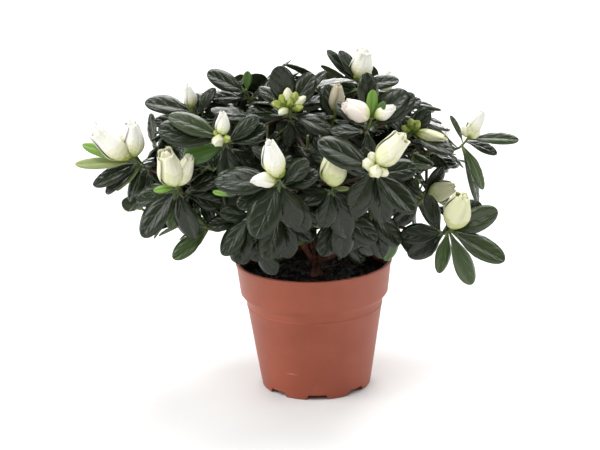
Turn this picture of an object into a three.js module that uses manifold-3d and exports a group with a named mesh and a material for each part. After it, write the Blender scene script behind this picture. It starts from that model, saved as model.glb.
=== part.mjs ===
// Potted evergreen azalea: a low dome of leathery leaves and white flower buds on a short forked trunk.
// Millimetres, +Z up, the plant's front towards -Y. The origin is the centre of the pot's flat underside.

import * as THREE from "three";
import { mergeVertices } from "three/addons/utils/BufferGeometryUtils.js";
import Module from "manifold-3d";

const wasm = await Module();
wasm.setup();

// Moulded nursery pot
const potHeight = 101;
const rimRadius = 60;
const bandFoot = { radius: 56.6, height: 75 };
const shoulder = { radius: 52.8, height: 70.7 };
const baseRadius = 42;
const baseRound = 1.2;
const potWall = 1.4;
const potFloor = 2;
const potSides = 48;
const notch = { count: 8, width: 18, topWidth: 14, height: 4, depth: 8, roof: 1.5 };

// Peat in the pot
const soilHeight = 90;
const soilCrown = 1.5;
const levelSoil = 53;
const clearance = 0.3;

// Points closer than the weld are one, and edges thinner than a sliver go
const weld = 0.001;
const sliver = 0.03;

// Crown: a dome about a heart point, drawn in below it
const heart = new THREE.Vector3(-8, 0, 150);
const domeRadii = { across: 132, deep: 118, up: 91, down: 60 };

// Leaves: size and outline, how far they bend down and stand up, and their places along a shoot
const leaf = { length: 42, leastShare: 0.84, moreShare: 0.3, widthShare: 0.5, widest: 0.6, tipShare: 0.4 };
const keel = { at: 0.17, depth: 1.9 };
const leafDroop = 0.22;
const leafRise = 0.35;
const leafSunk = 0.4;
const leafStart = 3.5;
const leafSpacing = 2.2;

// Twigs and buds
const shootLean = 0.6;
const twig = { radius: 1.2, tipRadius: 1.7, sides: 3, upturn: 15, bendAt: 0.55 };
const stemLength = 9;
const bigBud = { length: 29, radius: 7, sides: 6, waist: 0.42 };
const smallBud = { length: 10, radius: 2.9, sides: 4, waist: 0.6 };
const budRoot = 2;
const budLift = 0.9;
// Shoots that fill the rest of the dome, from its top down to a sine of lift
const filler = { spacing: 29, spiral: 260, leaves: 6, budShare: 0.35, lowest: -0.16 };
const openFront = { turn: 62, lift: 8 };
const borderReach = 14;
const goldenTurn = 137.508;
const seed = 20711;

// Where each shoot in view ends, seen from the heart: turn from the front towards the right and lift above
// level in degrees, reach in millimetres. Then what it bears, and the clock hours to which its leaves point.
const leadShoots = [
  { turn: -8, lift: 58, reach: 98, bears: "cluster", hours: [11, 1, 3, 4.2, 6, 9.3] },
  { turn: -40, lift: 37, reach: 109, bears: "pair", hours: [10.2, 9.1, 11.5, 2, 2.8, 6] },
  { turn: -56, lift: 14, reach: 114, bears: "bloom", hours: [7, 6.2, 5.2, 9, 8, 2] },
  { turn: -81, lift: 17, reach: 132, bears: "twin", hours: [9.4, 8.8, 8.3, 7.8, 10.6, 4.5] },
  { turn: -9, lift: 23, reach: 110, bears: "bloom", hours: [6.9, 5.7, 5, 8.6, 1.3, 2.2] },
  { turn: -58, lift: -6, reach: 85, bears: "none", hours: [7.3, 6, 8.5, 3, 10] },
  { turn: -83, lift: 42, reach: 108, bears: "pair", hours: [10, 10.8, 1, 8.6, 4, 12.2] },
  { turn: -83, lift: 65, reach: 94, bears: "none", hours: [9.7, 11, 12.4, 9, 2, 5] },
  { turn: 84, lift: 63, reach: 101, bears: "bloom", hours: [10.3, 11.5, 2.7, 8.5, 4.5, 1] },
  { turn: 50, lift: 44, reach: 109, bears: "twin", hours: [12.2, 1.2, 2.2, 10.4, 6.4, 8.6] },
  { turn: 41, lift: 67, reach: 95, bears: "pair", hours: [8.2, 10, 5, 3, 12] },
  { turn: 30, lift: 24, reach: 116, bears: "spray", hours: [9.7, 7.3, 6.1, 5, 3.8, 1] },
  { turn: 13, lift: 19, reach: 106, bears: "bloom", hours: [6.7, 5.9, 4.2, 8, 1.5] },
  { turn: 85, lift: 20, reach: 129, bears: "spray", hours: [3.1, 9.9, 10.8, 6.2, 5.4, 7] },
  { turn: 65, lift: -7, reach: 120, bears: "bloom", hours: [2.8, 1.5, 4.3, 5.2, 6.8, 9, 11] },
  { turn: 90, lift: 2, reach: 97, bears: "pair", hours: [1, 4, 7.5, 10.5, 12] },
  { turn: 79, lift: 36, reach: 101, bears: "cluster", hours: [4, 10, 1.5, 7] },
  { turn: 54, lift: -11, reach: 84, bears: "none", hours: [6.6, 6, 5.2, 4.2, 8] },
  { turn: -1, lift: 15, reach: 84, bears: "none", hours: [6.5, 7.4, 5.4, 9, 3] },
  { turn: 24, lift: 14, reach: 84, bears: "none", hours: [6.3, 5.4, 7.2, 3, 9] },
  { turn: -28, lift: 17, reach: 92, bears: "none", hours: [6.6, 8, 10, 5, 3] },
];

// Where the second, thinner stem comes out of the peat
const stemFoot = [-46, 20];

// Spaces of the foliage, each a cone of directions from the heart, and the limb that feeds each of them: the
// limb it leaves, how far along that, how thick it starts, and how far it bows up and sways on its way.
const spaces = [
  { place: "top_front", turn: -14, lift: 62, from: "trunk", at: 0.97, radius: 2.3, bow: 4, sway: [-9, -4] },
  { place: "top", turn: 110, lift: 74, from: "trunk", at: 0.97, radius: 2.4, bow: 4, sway: [10, 3] },
  { place: "upper_left", turn: -92, lift: 44, from: "top_front", at: 0.42, radius: 1.8, bow: 4 },
  { place: "upper_right", turn: 58, lift: 46, from: "top", at: 0.5, radius: 1.8, bow: 3 },
  { place: "front", turn: 3, lift: 15, from: "top_front", at: 0.3, radius: 1.7, bow: 5, sway: [3, 0] },
  { place: "front_left", turn: -39, lift: 25, from: "top_front", at: 0.36, radius: 1.7, bow: 3 },
  { place: "left", turn: -72, lift: 14, from: "top_front", at: 0.24, radius: 2, bow: 7 },
  { place: "front_right", turn: 32, lift: 19, from: "top", at: 0.26, radius: 1.7, bow: 4 },
  { place: "right", turn: 88, lift: 18, from: "top", at: 0.3, radius: 2, bow: 7 },
  { place: "low_right", turn: 60, lift: -16, from: "trunk", at: 0.6, radius: 1.6, bow: -2, sway: [3, -6] },
  { place: "low_left", turn: -60, lift: -16, from: "soil", radius: 1.7, bow: 2, sway: [-6, 0] },
  { place: "back_left", turn: -134, lift: 20, from: "top_front", at: 0.5, radius: 1.8, bow: 4 },
  { place: "back", turn: 180, lift: 38, from: "top", at: 0.44, radius: 1.8, bow: 4 },
  { place: "back_right", turn: 134, lift: 20, from: "top", at: 0.36, radius: 1.8, bow: 5 },
  { place: "low_back", turn: 180, lift: -8, from: "trunk", at: 0.75, radius: 1.7, bow: 4, sway: [0, 4] },
];
const limbTip = { radius: 1.3, reach: 52 };
const limbSides = 6;
const limbSteps = 7;

// Trunk: foot on the peat, lean, fork and root flare
const trunk = { foot: [2, -9], fork: [0, -10, 105], radius: 3, topRadius: 2.7 };
const rootFlare = { width: 2.4, lobes: 5, lobeDepth: 0.16 };

const finishes = {
  plastic: new THREE.MeshStandardMaterial({ color: 0x9c5845, roughness: 0.55, metalness: 0 }),
  peat: new THREE.MeshStandardMaterial({ color: 0x1c1512, roughness: 0.95, metalness: 0 }),
  bark: new THREE.MeshStandardMaterial({ color: 0x6b4334, roughness: 0.8, metalness: 0 }),
  foliage: new THREE.MeshStandardMaterial({ color: 0x34423a, roughness: 0.45, metalness: 0 }),
};

const up = new THREE.Vector3(0, 0, 1);
const group = new THREE.Group();

// Seeded numbers from 0 to 1
function seededNumbers(start) {
  let state = start;
  return () => {
    state = (state * 16807) % 2147483647;
    return state / 2147483647;
  };
}

function directionOf(turn, lift) {
  const t = THREE.MathUtils.degToRad(turn);
  const l = THREE.MathUtils.degToRad(lift);
  return new THREE.Vector3(Math.sin(t) * Math.cos(l), -Math.cos(t) * Math.cos(l), Math.sin(l));
}

function domeReach(direction) {
  const vertical = direction.z > 0 ? domeRadii.up : domeRadii.down;
  const share = Math.hypot(
    direction.x / domeRadii.across,
    direction.y / domeRadii.deep,
    direction.z / vertical,
  );
  return 1 / share;
}

// Closed three.js geometry to a solid, and a solid to a named mesh
function solidOf(geometry) {
  const bare = geometry.clone();
  bare.deleteAttribute("normal");
  bare.deleteAttribute("uv");
  const merged = mergeVertices(bare, weld);
  const mesh = new wasm.Mesh({
    numProp: 3,
    vertProperties: merged.attributes.position.array,
    triVerts: new Uint32Array(merged.index.array),
  });
  return new wasm.Manifold(mesh);
}

function geometryOf(solid) {
  const mesh = solid.getMesh();
  const geometry = new THREE.BufferGeometry();
  geometry.setAttribute("position", new THREE.BufferAttribute(new Float32Array(mesh.vertProperties), 3));
  geometry.setIndex(new THREE.BufferAttribute(new Uint32Array(mesh.triVerts), 1));
  return geometry;
}

function largestBody(solid) {
  const bodies = solid.decompose();
  return bodies.reduce((best, body) => (body.volume() > best.volume() ? body : best));
}

// Pieces fused to one skin, with slivers, loose scraps and sealed hollows gone
function fused(solids) {
  const joined = largestBody(wasm.Manifold.union(solids));
  const skin = largestBody(solidOf(geometryOf(joined)).simplify(sliver));
  return largestBody(solidOf(geometryOf(skin)));
}

function addPart(name, solid, material) {
  const geometry = geometryOf(solid);
  geometry.computeVertexNormals();
  const part = new THREE.Mesh(geometry, material);
  part.name = name;
  group.add(part);
}

// Pot: a thin turned shell with a rolled band, over drain pockets that open at the foot
function wallRadius(height) {
  const share = height / shoulder.height;
  return baseRadius + (shoulder.radius - baseRadius) * share;
}

function turned(profile, sides) {
  const points = profile.map(([radius, height]) => new THREE.Vector2(radius, height));
  const geometry = new THREE.LatheGeometry(points, sides);
  geometry.rotateX(Math.PI / 2);
  return solidOf(geometry);
}

function notchPrism(grow) {
  const shape = new THREE.Shape();
  const half = notch.width / 2 + grow;
  const topHalf = notch.topWidth / 2 + grow;
  shape.moveTo(-half, -1 + grow);
  shape.lineTo(half, -1 + grow);
  shape.lineTo(topHalf, notch.height + grow);
  shape.lineTo(-topHalf, notch.height + grow);
  shape.closePath();
  const geometry = new THREE.ExtrudeGeometry(shape, { depth: notch.depth * 2, bevelEnabled: false });
  geometry.rotateX(Math.PI / 2);
  geometry.translate(0, -baseRadius + notch.depth + grow, 0);
  return geometry;
}

function potSolid() {
  const outside = [
    [0, 0],
    [baseRadius - baseRound, 0],
    [wallRadius(baseRound), baseRound],
    [shoulder.radius, shoulder.height],
    [bandFoot.radius, bandFoot.height],
    [rimRadius, potHeight],
    [0, potHeight],
  ];
  const inside = [
    [0, potFloor],
    [wallRadius(potFloor) - potWall, potFloor],
    [shoulder.radius - potWall, shoulder.height + potWall],
    [bandFoot.radius - potWall, bandFoot.height + potWall],
    [rimRadius - potWall, potHeight + 1],
    [0, potHeight + 1],
  ];
  const envelope = turned(outside, potSides);
  let pot = envelope.subtract(turned(inside, potSides));
  for (let i = 0; i < notch.count; i += 1) {
    const angle = (i * 2 * Math.PI) / notch.count;
    const pocket = solidOf(notchPrism(notch.roof).rotateZ(angle)).trimByPlane([0, 0, 1], 0);
    pot = pot.add(pocket.intersect(envelope));
    pot = pot.subtract(solidOf(notchPrism(0).rotateZ(angle)));
  }
  return largestBody(pot);
}

function soilSolid() {
  const bottom = notch.height + notch.roof + clearance;
  const gap = potWall + clearance;
  return turned(
    [
      [0, bottom],
      [wallRadius(bottom) - gap, bottom],
      [shoulder.radius - gap, shoulder.height + potWall],
      [bandFoot.radius - gap, bandFoot.height + potWall],
      [bandFoot.radius - gap + 1.5, soilHeight - soilCrown],
      [levelSoil, soilHeight],
      [0, soilHeight],
    ],
    potSides,
  );
}

// A closed tube of rings along a curve, with a radius for each share of its length
function tubeGeometry(curve, radiusAt, sides, steps, levelFoot = false) {
  const positions = [];
  const indices = [];
  const frames = curve.computeFrenetFrames(steps, false);
  for (let i = 0; i <= steps; i += 1) {
    const centre = curve.getPoint(i / steps);
    let across = frames.normals[i];
    let along = frames.binormals[i];
    if (levelFoot && i === 0) {
      across = across.clone().projectOnPlane(up).normalize();
      along = new THREE.Vector3().crossVectors(up, across);
    }
    for (let k = 0; k < sides; k += 1) {
      const angle = (k * 2 * Math.PI) / sides;
      const radius = radiusAt(i / steps, angle);
      const point = centre
        .clone()
        .addScaledVector(across, radius * Math.cos(angle))
        .addScaledVector(along, radius * Math.sin(angle));
      positions.push(point.x, point.y, point.z);
    }
  }
  for (let i = 0; i < steps; i += 1) {
    for (let k = 0; k < sides; k += 1) {
      const a = i * sides + k;
      const b = i * sides + ((k + 1) % sides);
      indices.push(a, b, b + sides, a, b + sides, a + sides);
    }
  }
  for (let k = 1; k < sides - 1; k += 1) {
    const end = steps * sides;
    indices.push(0, k + 1, k, end, end + k, end + k + 1);
  }
  const geometry = new THREE.BufferGeometry();
  geometry.setAttribute("position", new THREE.Float32BufferAttribute(positions, 3));
  geometry.setIndex(indices);
  return geometry;
}

function smoothCurve(points) {
  return new THREE.CatmullRomCurve3(points, false, "catmullrom", 0.5);
}

// Trunk and boughs
const limbs = new Map();

function trunkCurve() {
  const foot = new THREE.Vector3(trunk.foot[0], trunk.foot[1], soilHeight + clearance);
  const fork = new THREE.Vector3(...trunk.fork);
  const middle = foot.clone().lerp(fork, 0.5).add(new THREE.Vector3(0.6, 0, 0));
  return smoothCurve([foot, middle, fork]);
}

function trunkRadius(share, angle) {
  const flare = (1 - share) ** 3;
  const body = trunk.radius + (trunk.topRadius - trunk.radius) * share;
  return body + rootFlare.width * flare * (1 + rootFlare.lobeDepth * Math.cos(rootFlare.lobes * angle));
}

function limbCurve(space) {
  const end = heart.clone().addScaledVector(directionOf(space.turn, space.lift), limbTip.reach);
  const start = space.from === "soil"
    ? new THREE.Vector3(stemFoot[0], stemFoot[1], soilHeight + clearance)
    : limbs.get(space.from).curve.getPoint(space.at);
  const low = start.clone().lerp(end, 0.3);
  const high = start.clone().lerp(end, 0.68);
  const [swayX, swayY] = space.sway ?? [0, 0];
  low.add(new THREE.Vector3(swayX, swayY, space.bow));
  high.add(new THREE.Vector3(swayX / 2, swayY / 2, space.bow));
  return smoothCurve([start, low, high, end]);
}

function makeLimb(name, curve, radiusAt, levelFoot) {
  const shape = (grow) => {
    const grown = (share, angle) => radiusAt(share, angle) + grow;
    return solidOf(tubeGeometry(curve, grown, limbSides, limbSteps, levelFoot));
  };
  let solid = shape(0);
  for (const other of limbs.values()) {
    solid = solid.subtract(other.grown);
  }
  const body = largestBody(solid);
  limbs.set(name, { curve, solid: body, grown: shape(clearance) });
  return body;
}

function makeLimbs() {
  addPart("trunk", makeLimb("trunk", trunkCurve(), trunkRadius, true), finishes.bark);
  for (const space of spaces) {
    const radiusAt = (share) => space.radius + (limbTip.radius - space.radius) * share;
    const planted = space.from === "soil";
    const body = makeLimb(space.place, limbCurve(space), radiusAt, planted);
    addPart(planted ? "stem_left" : `bough_${space.place}`, body, finishes.bark);
  }
}

// Shoots: those in view, and fillers spread evenly round the rest of the dome
function allShoots() {
  const random = seededNumbers(seed);
  const shoots = leadShoots.map((lead) => ({
    ...lead,
    tip: heart.clone().addScaledVector(directionOf(lead.turn, lead.lift), lead.reach),
  }));
  for (let i = 0; i < filler.spiral; i += 1) {
    const height = 0.99 - ((0.99 - filler.lowest) * i) / filler.spiral;
    const turn = ((i * goldenTurn + 180) % 360) - 180 + 10 * (random() - 0.5);
    const lift = THREE.MathUtils.radToDeg(Math.asin(height)) + 6 * (random() - 0.5);
    const direction = directionOf(turn, lift);
    const tip = heart.clone().addScaledVector(direction, domeReach(direction) * (0.88 + 0.12 * random()));
    const budding = random() < filler.budShare;
    const bears = budding ? ["pair", "bloom", "cluster"][Math.floor(random() * 3)] : "none";
    const lowInFront = Math.abs(turn) < openFront.turn && lift < openFront.lift;
    if (!lowInFront && shoots.every((shoot) => shoot.tip.distanceTo(tip) >= filler.spacing)) {
      shoots.push({ turn, lift, tip, bears, hours: null });
    }
  }
  shoots.forEach((shoot, index) => {
    shoot.axis = shoot.tip.clone().sub(heart).normalize().addScaledVector(up, shootLean).normalize();
    shoot.random = seededNumbers(seed + 97 * (index + 1));
  });
  return shoots;
}

// Wide directions of a shoot's leaves: clock hours seen from the front, or a golden-angle whorl
function leafHeadings(shoot) {
  if (shoot.hours) {
    return shoot.hours.map((hour) => directionOf(90, 90 - hour * 30));
  }
  const side = new THREE.Vector3().crossVectors(shoot.axis, up).normalize();
  const other = new THREE.Vector3().crossVectors(shoot.axis, side);
  const first = shoot.random() * 2 * Math.PI;
  return Array.from({ length: filler.leaves }, (_, k) => {
    const angle = first + k * THREE.MathUtils.degToRad(goldenTurn);
    return side.clone().multiplyScalar(Math.cos(angle)).addScaledVector(other, Math.sin(angle));
  });
}

// One leaf of eight faces: a pointed root, a keel close to it, a widest place and a blunt tip, bent down
function leafGeometry(base, heading, axis, length) {
  const ahead = heading.clone().normalize();
  const above = axis.clone().addScaledVector(ahead, -axis.dot(ahead)).normalize();
  const side = new THREE.Vector3().crossVectors(ahead, above);
  const halfWidth = (length * leaf.widthShare) / 2;
  const at = (share, across, down) =>
    base
      .clone()
      .addScaledVector(ahead, share * length - leafSunk)
      .addScaledVector(above, -leafDroop * share * share * length - down)
      .addScaledVector(side, across);
  const points = [
    at(0, 0, 0),
    at(keel.at, 0, keel.depth),
    at(leaf.widest, -halfWidth, 0),
    at(leaf.widest, halfWidth, 0),
    at(1, -halfWidth * leaf.tipShare, 0),
    at(1, halfWidth * leaf.tipShare, 0),
  ];
  const geometry = new THREE.BufferGeometry().setFromPoints(points);
  geometry.setIndex([0, 3, 2, 0, 2, 1, 0, 1, 3, 1, 2, 4, 1, 4, 5, 1, 5, 3, 2, 3, 5, 2, 5, 4]);
  return { geometry, points };
}

// A spindle with a few sides, standing on a point and facing along an axis
function spindle(foot, axis, length, bud) {
  const profile = [
    new THREE.Vector2(0, 0),
    new THREE.Vector2(bud.radius, length * bud.waist),
    new THREE.Vector2(0, length),
  ];
  const geometry = new THREE.LatheGeometry(profile, bud.sides);
  const turn = new THREE.Quaternion().setFromUnitVectors(new THREE.Vector3(0, 1, 0), axis);
  geometry.applyQuaternion(turn);
  geometry.translate(foot.x, foot.y, foot.z);
  return geometry;
}

function budGeometries(shoot) {
  const foot = shoot.tip.clone().addScaledVector(shoot.axis, -budRoot);
  const side = new THREE.Vector3().crossVectors(shoot.axis, up).normalize();
  const other = new THREE.Vector3().crossVectors(shoot.axis, side);
  const upright = shoot.axis.clone().addScaledVector(up, budLift).normalize();
  const leaning = (angle, lean) =>
    upright
      .clone()
      .addScaledVector(side, lean * Math.cos(angle))
      .addScaledVector(other, lean * Math.sin(angle))
      .normalize();
  const big = (axis) => spindle(foot, axis, bigBud.length + budRoot, bigBud);
  const small = (axis, size) => spindle(foot, axis, smallBud.length * size + budRoot, smallBud);
  const start = shoot.random() * 2 * Math.PI;
  const ring = (count, lean) =>
    Array.from({ length: count }, (_, k) => small(leaning(start + (k * 2 * Math.PI) / count, lean), 1.1));
  if (shoot.bears === "bloom") {
    return [big(leaning(start, 0.1)), small(leaning(start + 2, 0.9), 1)];
  }
  if (shoot.bears === "twin") {
    return [big(leaning(Math.PI, 0.5)), big(leaning(0, 0.25))];
  }
  if (shoot.bears === "pair") {
    return [small(leaning(start, 0.1), 1.7), small(leaning(start + 2.4, 0.8), 0.9)];
  }
  if (shoot.bears === "spray") {
    return [big(leaning(0.4, 0.4)), ...ring(3, 0.9)];
  }
  return shoot.bears === "cluster" ? ring(4, 0.6) : [];
}

// A point keeps to its space when it lies in its own cone, or little beyond the border
function insideSpace(point, space) {
  const from = point.clone().sub(heart);
  return spaces.every((other) => {
    if (other === space) {
      return true;
    }
    const across = directionOf(other.turn, other.lift).sub(directionOf(space.turn, space.lift));
    return across.normalize().dot(from) <= borderReach;
  });
}

function spaceOf(point) {
  const from = point.clone().sub(heart);
  const nearness = (space) => directionOf(space.turn, space.lift).dot(from);
  return spaces.reduce((best, space) => (nearness(space) > nearness(best) ? space : best));
}

// Everything that stands so far, so that each new piece is set clear of it
const standing = [];

function stand(solid, space) {
  const piece = { solid, space, box: solid.boundingBox() };
  standing.push(piece);
  return piece;
}

function boxesApart(a, b) {
  return [0, 1, 2].some((k) => a.min[k] > b.max[k] + clearance || b.min[k] > a.max[k] + clearance);
}

function isClear(solid, joins) {
  const box = solid.boundingBox();
  return standing.every(
    (other) => joins(other) || boxesApart(box, other.box) || solid.minGap(other.solid, 1) >= clearance,
  );
}

// Twigs of one mass: a stem that meets its bough, then one twig to each shoot from the nearest fork so far
function growTwigs(space, shoots) {
  const bough = limbs.get(space.place).curve;
  const tangent = bough.getTangent(1);
  const foot = bough.getPoint(1).addScaledVector(tangent, clearance);
  const stemEnd = foot.clone().addScaledVector(tangent, stemLength);
  const stem = solidOf(tubeGeometry(smoothCurve([foot, stemEnd]), () => limbTip.radius, limbSides, 1));
  stand(stem, space);
  const forks = [stemEnd.addScaledVector(tangent, -1)];
  const distance = (shoot) => shoot.tip.distanceTo(stemEnd);
  for (const shoot of [...shoots].sort((a, b) => distance(a) - distance(b))) {
    const fork = forks.reduce((best, point) =>
      point.distanceTo(shoot.tip) < best.distanceTo(shoot.tip) ? point : best,
    );
    const neck = shoot.tip.clone().addScaledVector(shoot.axis, -twig.upturn);
    const middle = fork.clone().lerp(neck, twig.bendAt);
    const radiusAt = (share) => (share > 0.6 ? twig.tipRadius : twig.radius);
    const route = smoothCurve([fork, middle, neck, shoot.tip]);
    const stick = solidOf(tubeGeometry(route, radiusAt, twig.sides, 3));
    if (isClear(stick, (other) => other.space === space)) {
      forks.push(middle);
      shoot.stick = stand(stick, space);
    }
  }
}

function growBuds(space, shoot) {
  for (const bud of budGeometries(shoot)) {
    const solid = solidOf(bud);
    if (isClear(solid, (other) => other.space === space)) {
      stand(solid, space);
    }
  }
}

// A leaf takes its place where it keeps to its space and is clear of the rest. Else it turns or folds up a
// little, and where nothing fits it is left out.
function growLeaf(space, shoot, base, heading) {
  const length = leaf.length * (leaf.leastShare + leaf.moreShare * shoot.random());
  for (const fold of [1, 0.8, 0.6]) {
    for (const turn of [0, 13, -13, 26, -26]) {
      const way = heading
        .clone()
        .applyAxisAngle(shoot.axis, THREE.MathUtils.degToRad(turn))
        .multiplyScalar(fold)
        .addScaledVector(shoot.axis, leafRise + 1 - fold)
        .normalize();
      const { geometry, points } = leafGeometry(base, way, shoot.axis, length * (0.6 + 0.4 * fold));
      const blade = solidOf(geometry);
      const inside = points.every((point) => insideSpace(point, space));
      if (inside && isClear(blade, (other) => other === shoot.stick)) {
        stand(blade, space);
        return;
      }
    }
  }
}

function makeFoliage() {
  const shoots = allShoots();
  const grown = [];
  for (const space of spaces) {
    const own = shoots.filter((shoot) => spaceOf(shoot.tip) === space);
    growTwigs(space, own);
    grown.push(...own.filter((shoot) => shoot.stick).map((shoot) => ({ space, shoot })));
  }
  grown.sort((a, b) => shoots.indexOf(a.shoot) - shoots.indexOf(b.shoot));
  for (const { space, shoot } of grown) {
    growBuds(space, shoot);
  }
  for (const { space, shoot } of grown) {
    leafHeadings(shoot).forEach((heading, k) => {
      const base = shoot.tip.clone().addScaledVector(shoot.axis, -leafStart - k * leafSpacing);
      growLeaf(space, shoot, base, heading);
    });
  }
  for (const space of spaces) {
    const pieces = standing.filter((piece) => piece.space === space).map((piece) => piece.solid);
    addPart(`foliage_${space.place}`, fused(pieces), finishes.foliage);
  }
}

const pot = potSolid();
const soil = soilSolid();
addPart("pot", pot, finishes.plastic);
addPart("soil", soil, finishes.peat);
makeLimbs();
[pot, soil, ...[...limbs.values()].map((limb) => limb.solid)].forEach((solid) => stand(solid, null));
makeFoliage();

export default group;
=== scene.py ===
import math
from itertools import product

import bmesh
import bpy
import numpy as np
from mathutils import Matrix, Quaternion, Vector, noise
from mathutils.bvhtree import BVHTree


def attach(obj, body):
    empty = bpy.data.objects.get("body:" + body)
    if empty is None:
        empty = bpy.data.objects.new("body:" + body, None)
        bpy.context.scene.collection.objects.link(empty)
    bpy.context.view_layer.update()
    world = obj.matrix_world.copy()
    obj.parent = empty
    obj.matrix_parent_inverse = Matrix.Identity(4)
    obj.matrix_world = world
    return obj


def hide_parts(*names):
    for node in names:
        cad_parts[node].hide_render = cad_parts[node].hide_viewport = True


# Potted evergreen azalea in bud. Sizes are in millimetres, and mm makes them metres where a mesh is built.
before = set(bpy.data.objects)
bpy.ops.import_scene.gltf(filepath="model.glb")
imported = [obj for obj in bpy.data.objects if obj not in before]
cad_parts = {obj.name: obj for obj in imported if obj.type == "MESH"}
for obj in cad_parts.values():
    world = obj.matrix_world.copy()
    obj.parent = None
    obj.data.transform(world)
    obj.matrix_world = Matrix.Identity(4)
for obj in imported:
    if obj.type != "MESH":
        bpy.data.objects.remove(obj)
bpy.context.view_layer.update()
mm = 0.001
scene = bpy.context.scene
upward = Vector((0, 0, 1))
print("frame loaded:", len(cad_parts), "nodes")


# Camera: long lens at the photo's height, a little out of level
cameraView = {
    "lens": 118.1,
    "distance": 1500,
    "target": (-9.8, 0, 126.9),
    "elevation": 17.35,
    "roll": -1.46,
    "clipEnd": 20,
}


def makeCamera():
    view = cameraView
    lift = math.radians(view["elevation"])
    back = Vector((0, -math.cos(lift), math.sin(lift)))
    camera = bpy.data.objects.new("camera", bpy.data.cameras.new("camera"))
    camera.data.lens = view["lens"]
    camera.data.clip_end = view["clipEnd"]
    camera.location = (Vector(view["target"]) + back * view["distance"]) * mm
    roll = Quaternion((0, 0, 1), math.radians(view["roll"]))
    camera.rotation_mode = "QUATERNION"
    camera.rotation_quaternion = (-back).to_track_quat("-Z", "Y") @ roll
    scene.collection.objects.link(camera)
    scene.camera = camera


makeCamera()


# Small tools for every piece
def seededNumbers(start):
    state = start

    def draw():
        nonlocal state
        state = state * 16807 % 2147483647
        return state / 2147483647

    return draw


# Turn is in degrees from the viewer's side towards the right, lift is above the level
def directionOf(turn, lift):
    turn, lift = math.radians(turn), math.radians(lift)
    return Vector((math.sin(turn) * math.cos(lift), -math.cos(turn) * math.cos(lift), math.sin(lift)))


# Way that a clock's hand points, as the viewer in front sees it
def clockWay(hour):
    return directionOf(90, 90 - hour * 30)


# A least value and how much more, by share
def between(span, share):
    return span[0] + span[1] * share


def meshOf(bm, name):
    mesh = bpy.data.meshes.new(name)
    bm.to_mesh(mesh)
    bm.free()
    return mesh


def placed(name, data):
    holder = bpy.data.objects.new(name, data)
    scene.collection.objects.link(holder)
    return holder


# The mesh that an object's curve or modifiers make. The object itself goes.
def madeReal(holder):
    graph = bpy.context.evaluated_depsgraph_get()
    mesh = bpy.data.meshes.new_from_object(holder.evaluated_get(graph))
    bpy.data.objects.remove(holder)
    return mesh


# Links a mesh as a piece
def finishPiece(mesh, name, finishes, nodes=(), smooth=True):
    for finish in finishes:
        mesh.materials.append(finish)
    if smooth:
        mesh.shade_smooth()
    piece = placed(name, mesh)
    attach(piece, "root")
    if nodes:
        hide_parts(*nodes)
    return piece


# Colours are sRGB hex and become linear here
def linearColour(hexText):
    shares = [int(hexText[i:i + 2], 16) / 255 for i in (1, 3, 5)]
    return [s / 12.92 if s <= 0.04045 else ((s + 0.055) / 1.055) ** 2.4 for s in shares] + [1]


def addNode(material, kind, settings=None, values=None, links=None):
    node = material.node_tree.nodes.new(kind)
    for key, value in (settings or {}).items():
        setattr(node, key, value)
    for key, value in (values or {}).items():
        node.inputs[key].default_value = value
    for key, (source, output) in (links or {}).items():
        material.node_tree.links.new(source.outputs[output], node.inputs[key])
    return node


def newFinish(name, roughness, ior):
    material = bpy.data.materials.new(name)
    material.use_nodes = True
    shader = material.node_tree.nodes["Principled BSDF"]
    shader.inputs["Roughness"].default_value = roughness
    shader.inputs["IOR"].default_value = ior
    place = addNode(material, "ShaderNodeTexCoord")
    return material, shader, place


# Noise whose spots are about size millimetres across
def grainOf(material, place, size, detail=2, stretch=(1, 1, 1)):
    mapping = addNode(material, "ShaderNodeMapping", {}, {"Scale": stretch}, {"Vector": (place, "Object")})
    values = {"Scale": 1 / (size * mm), "Detail": detail, "Roughness": 0.55}
    return addNode(material, "ShaderNodeTexNoise", {}, values, {"Vector": (mapping, "Vector")})


# Base colour between two hex colours, by a mask
def setColour(material, shader, mask, socket, low, high, span=(0.35, 0.65)):
    ramp = addNode(material, "ShaderNodeValToRGB", {}, {}, {"Fac": (mask, socket)})
    ramp.color_ramp.elements[0].position, ramp.color_ramp.elements[1].position = span
    ramp.color_ramp.elements[0].color = linearColour(low)
    ramp.color_ramp.elements[1].color = linearColour(high)
    material.node_tree.links.new(ramp.outputs["Color"], shader.inputs["Base Color"])
    return ramp


# Relief of a mask, depth millimetres from its lowest to its highest
def setBump(material, shader, mask, socket, depth):
    values = {"Distance": depth * mm, "Strength": 1.0}
    bump = addNode(material, "ShaderNodeBump", {}, values, {"Height": (mask, socket)})
    material.node_tree.links.new(bump.outputs["Normal"], shader.inputs["Normal"])


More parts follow.
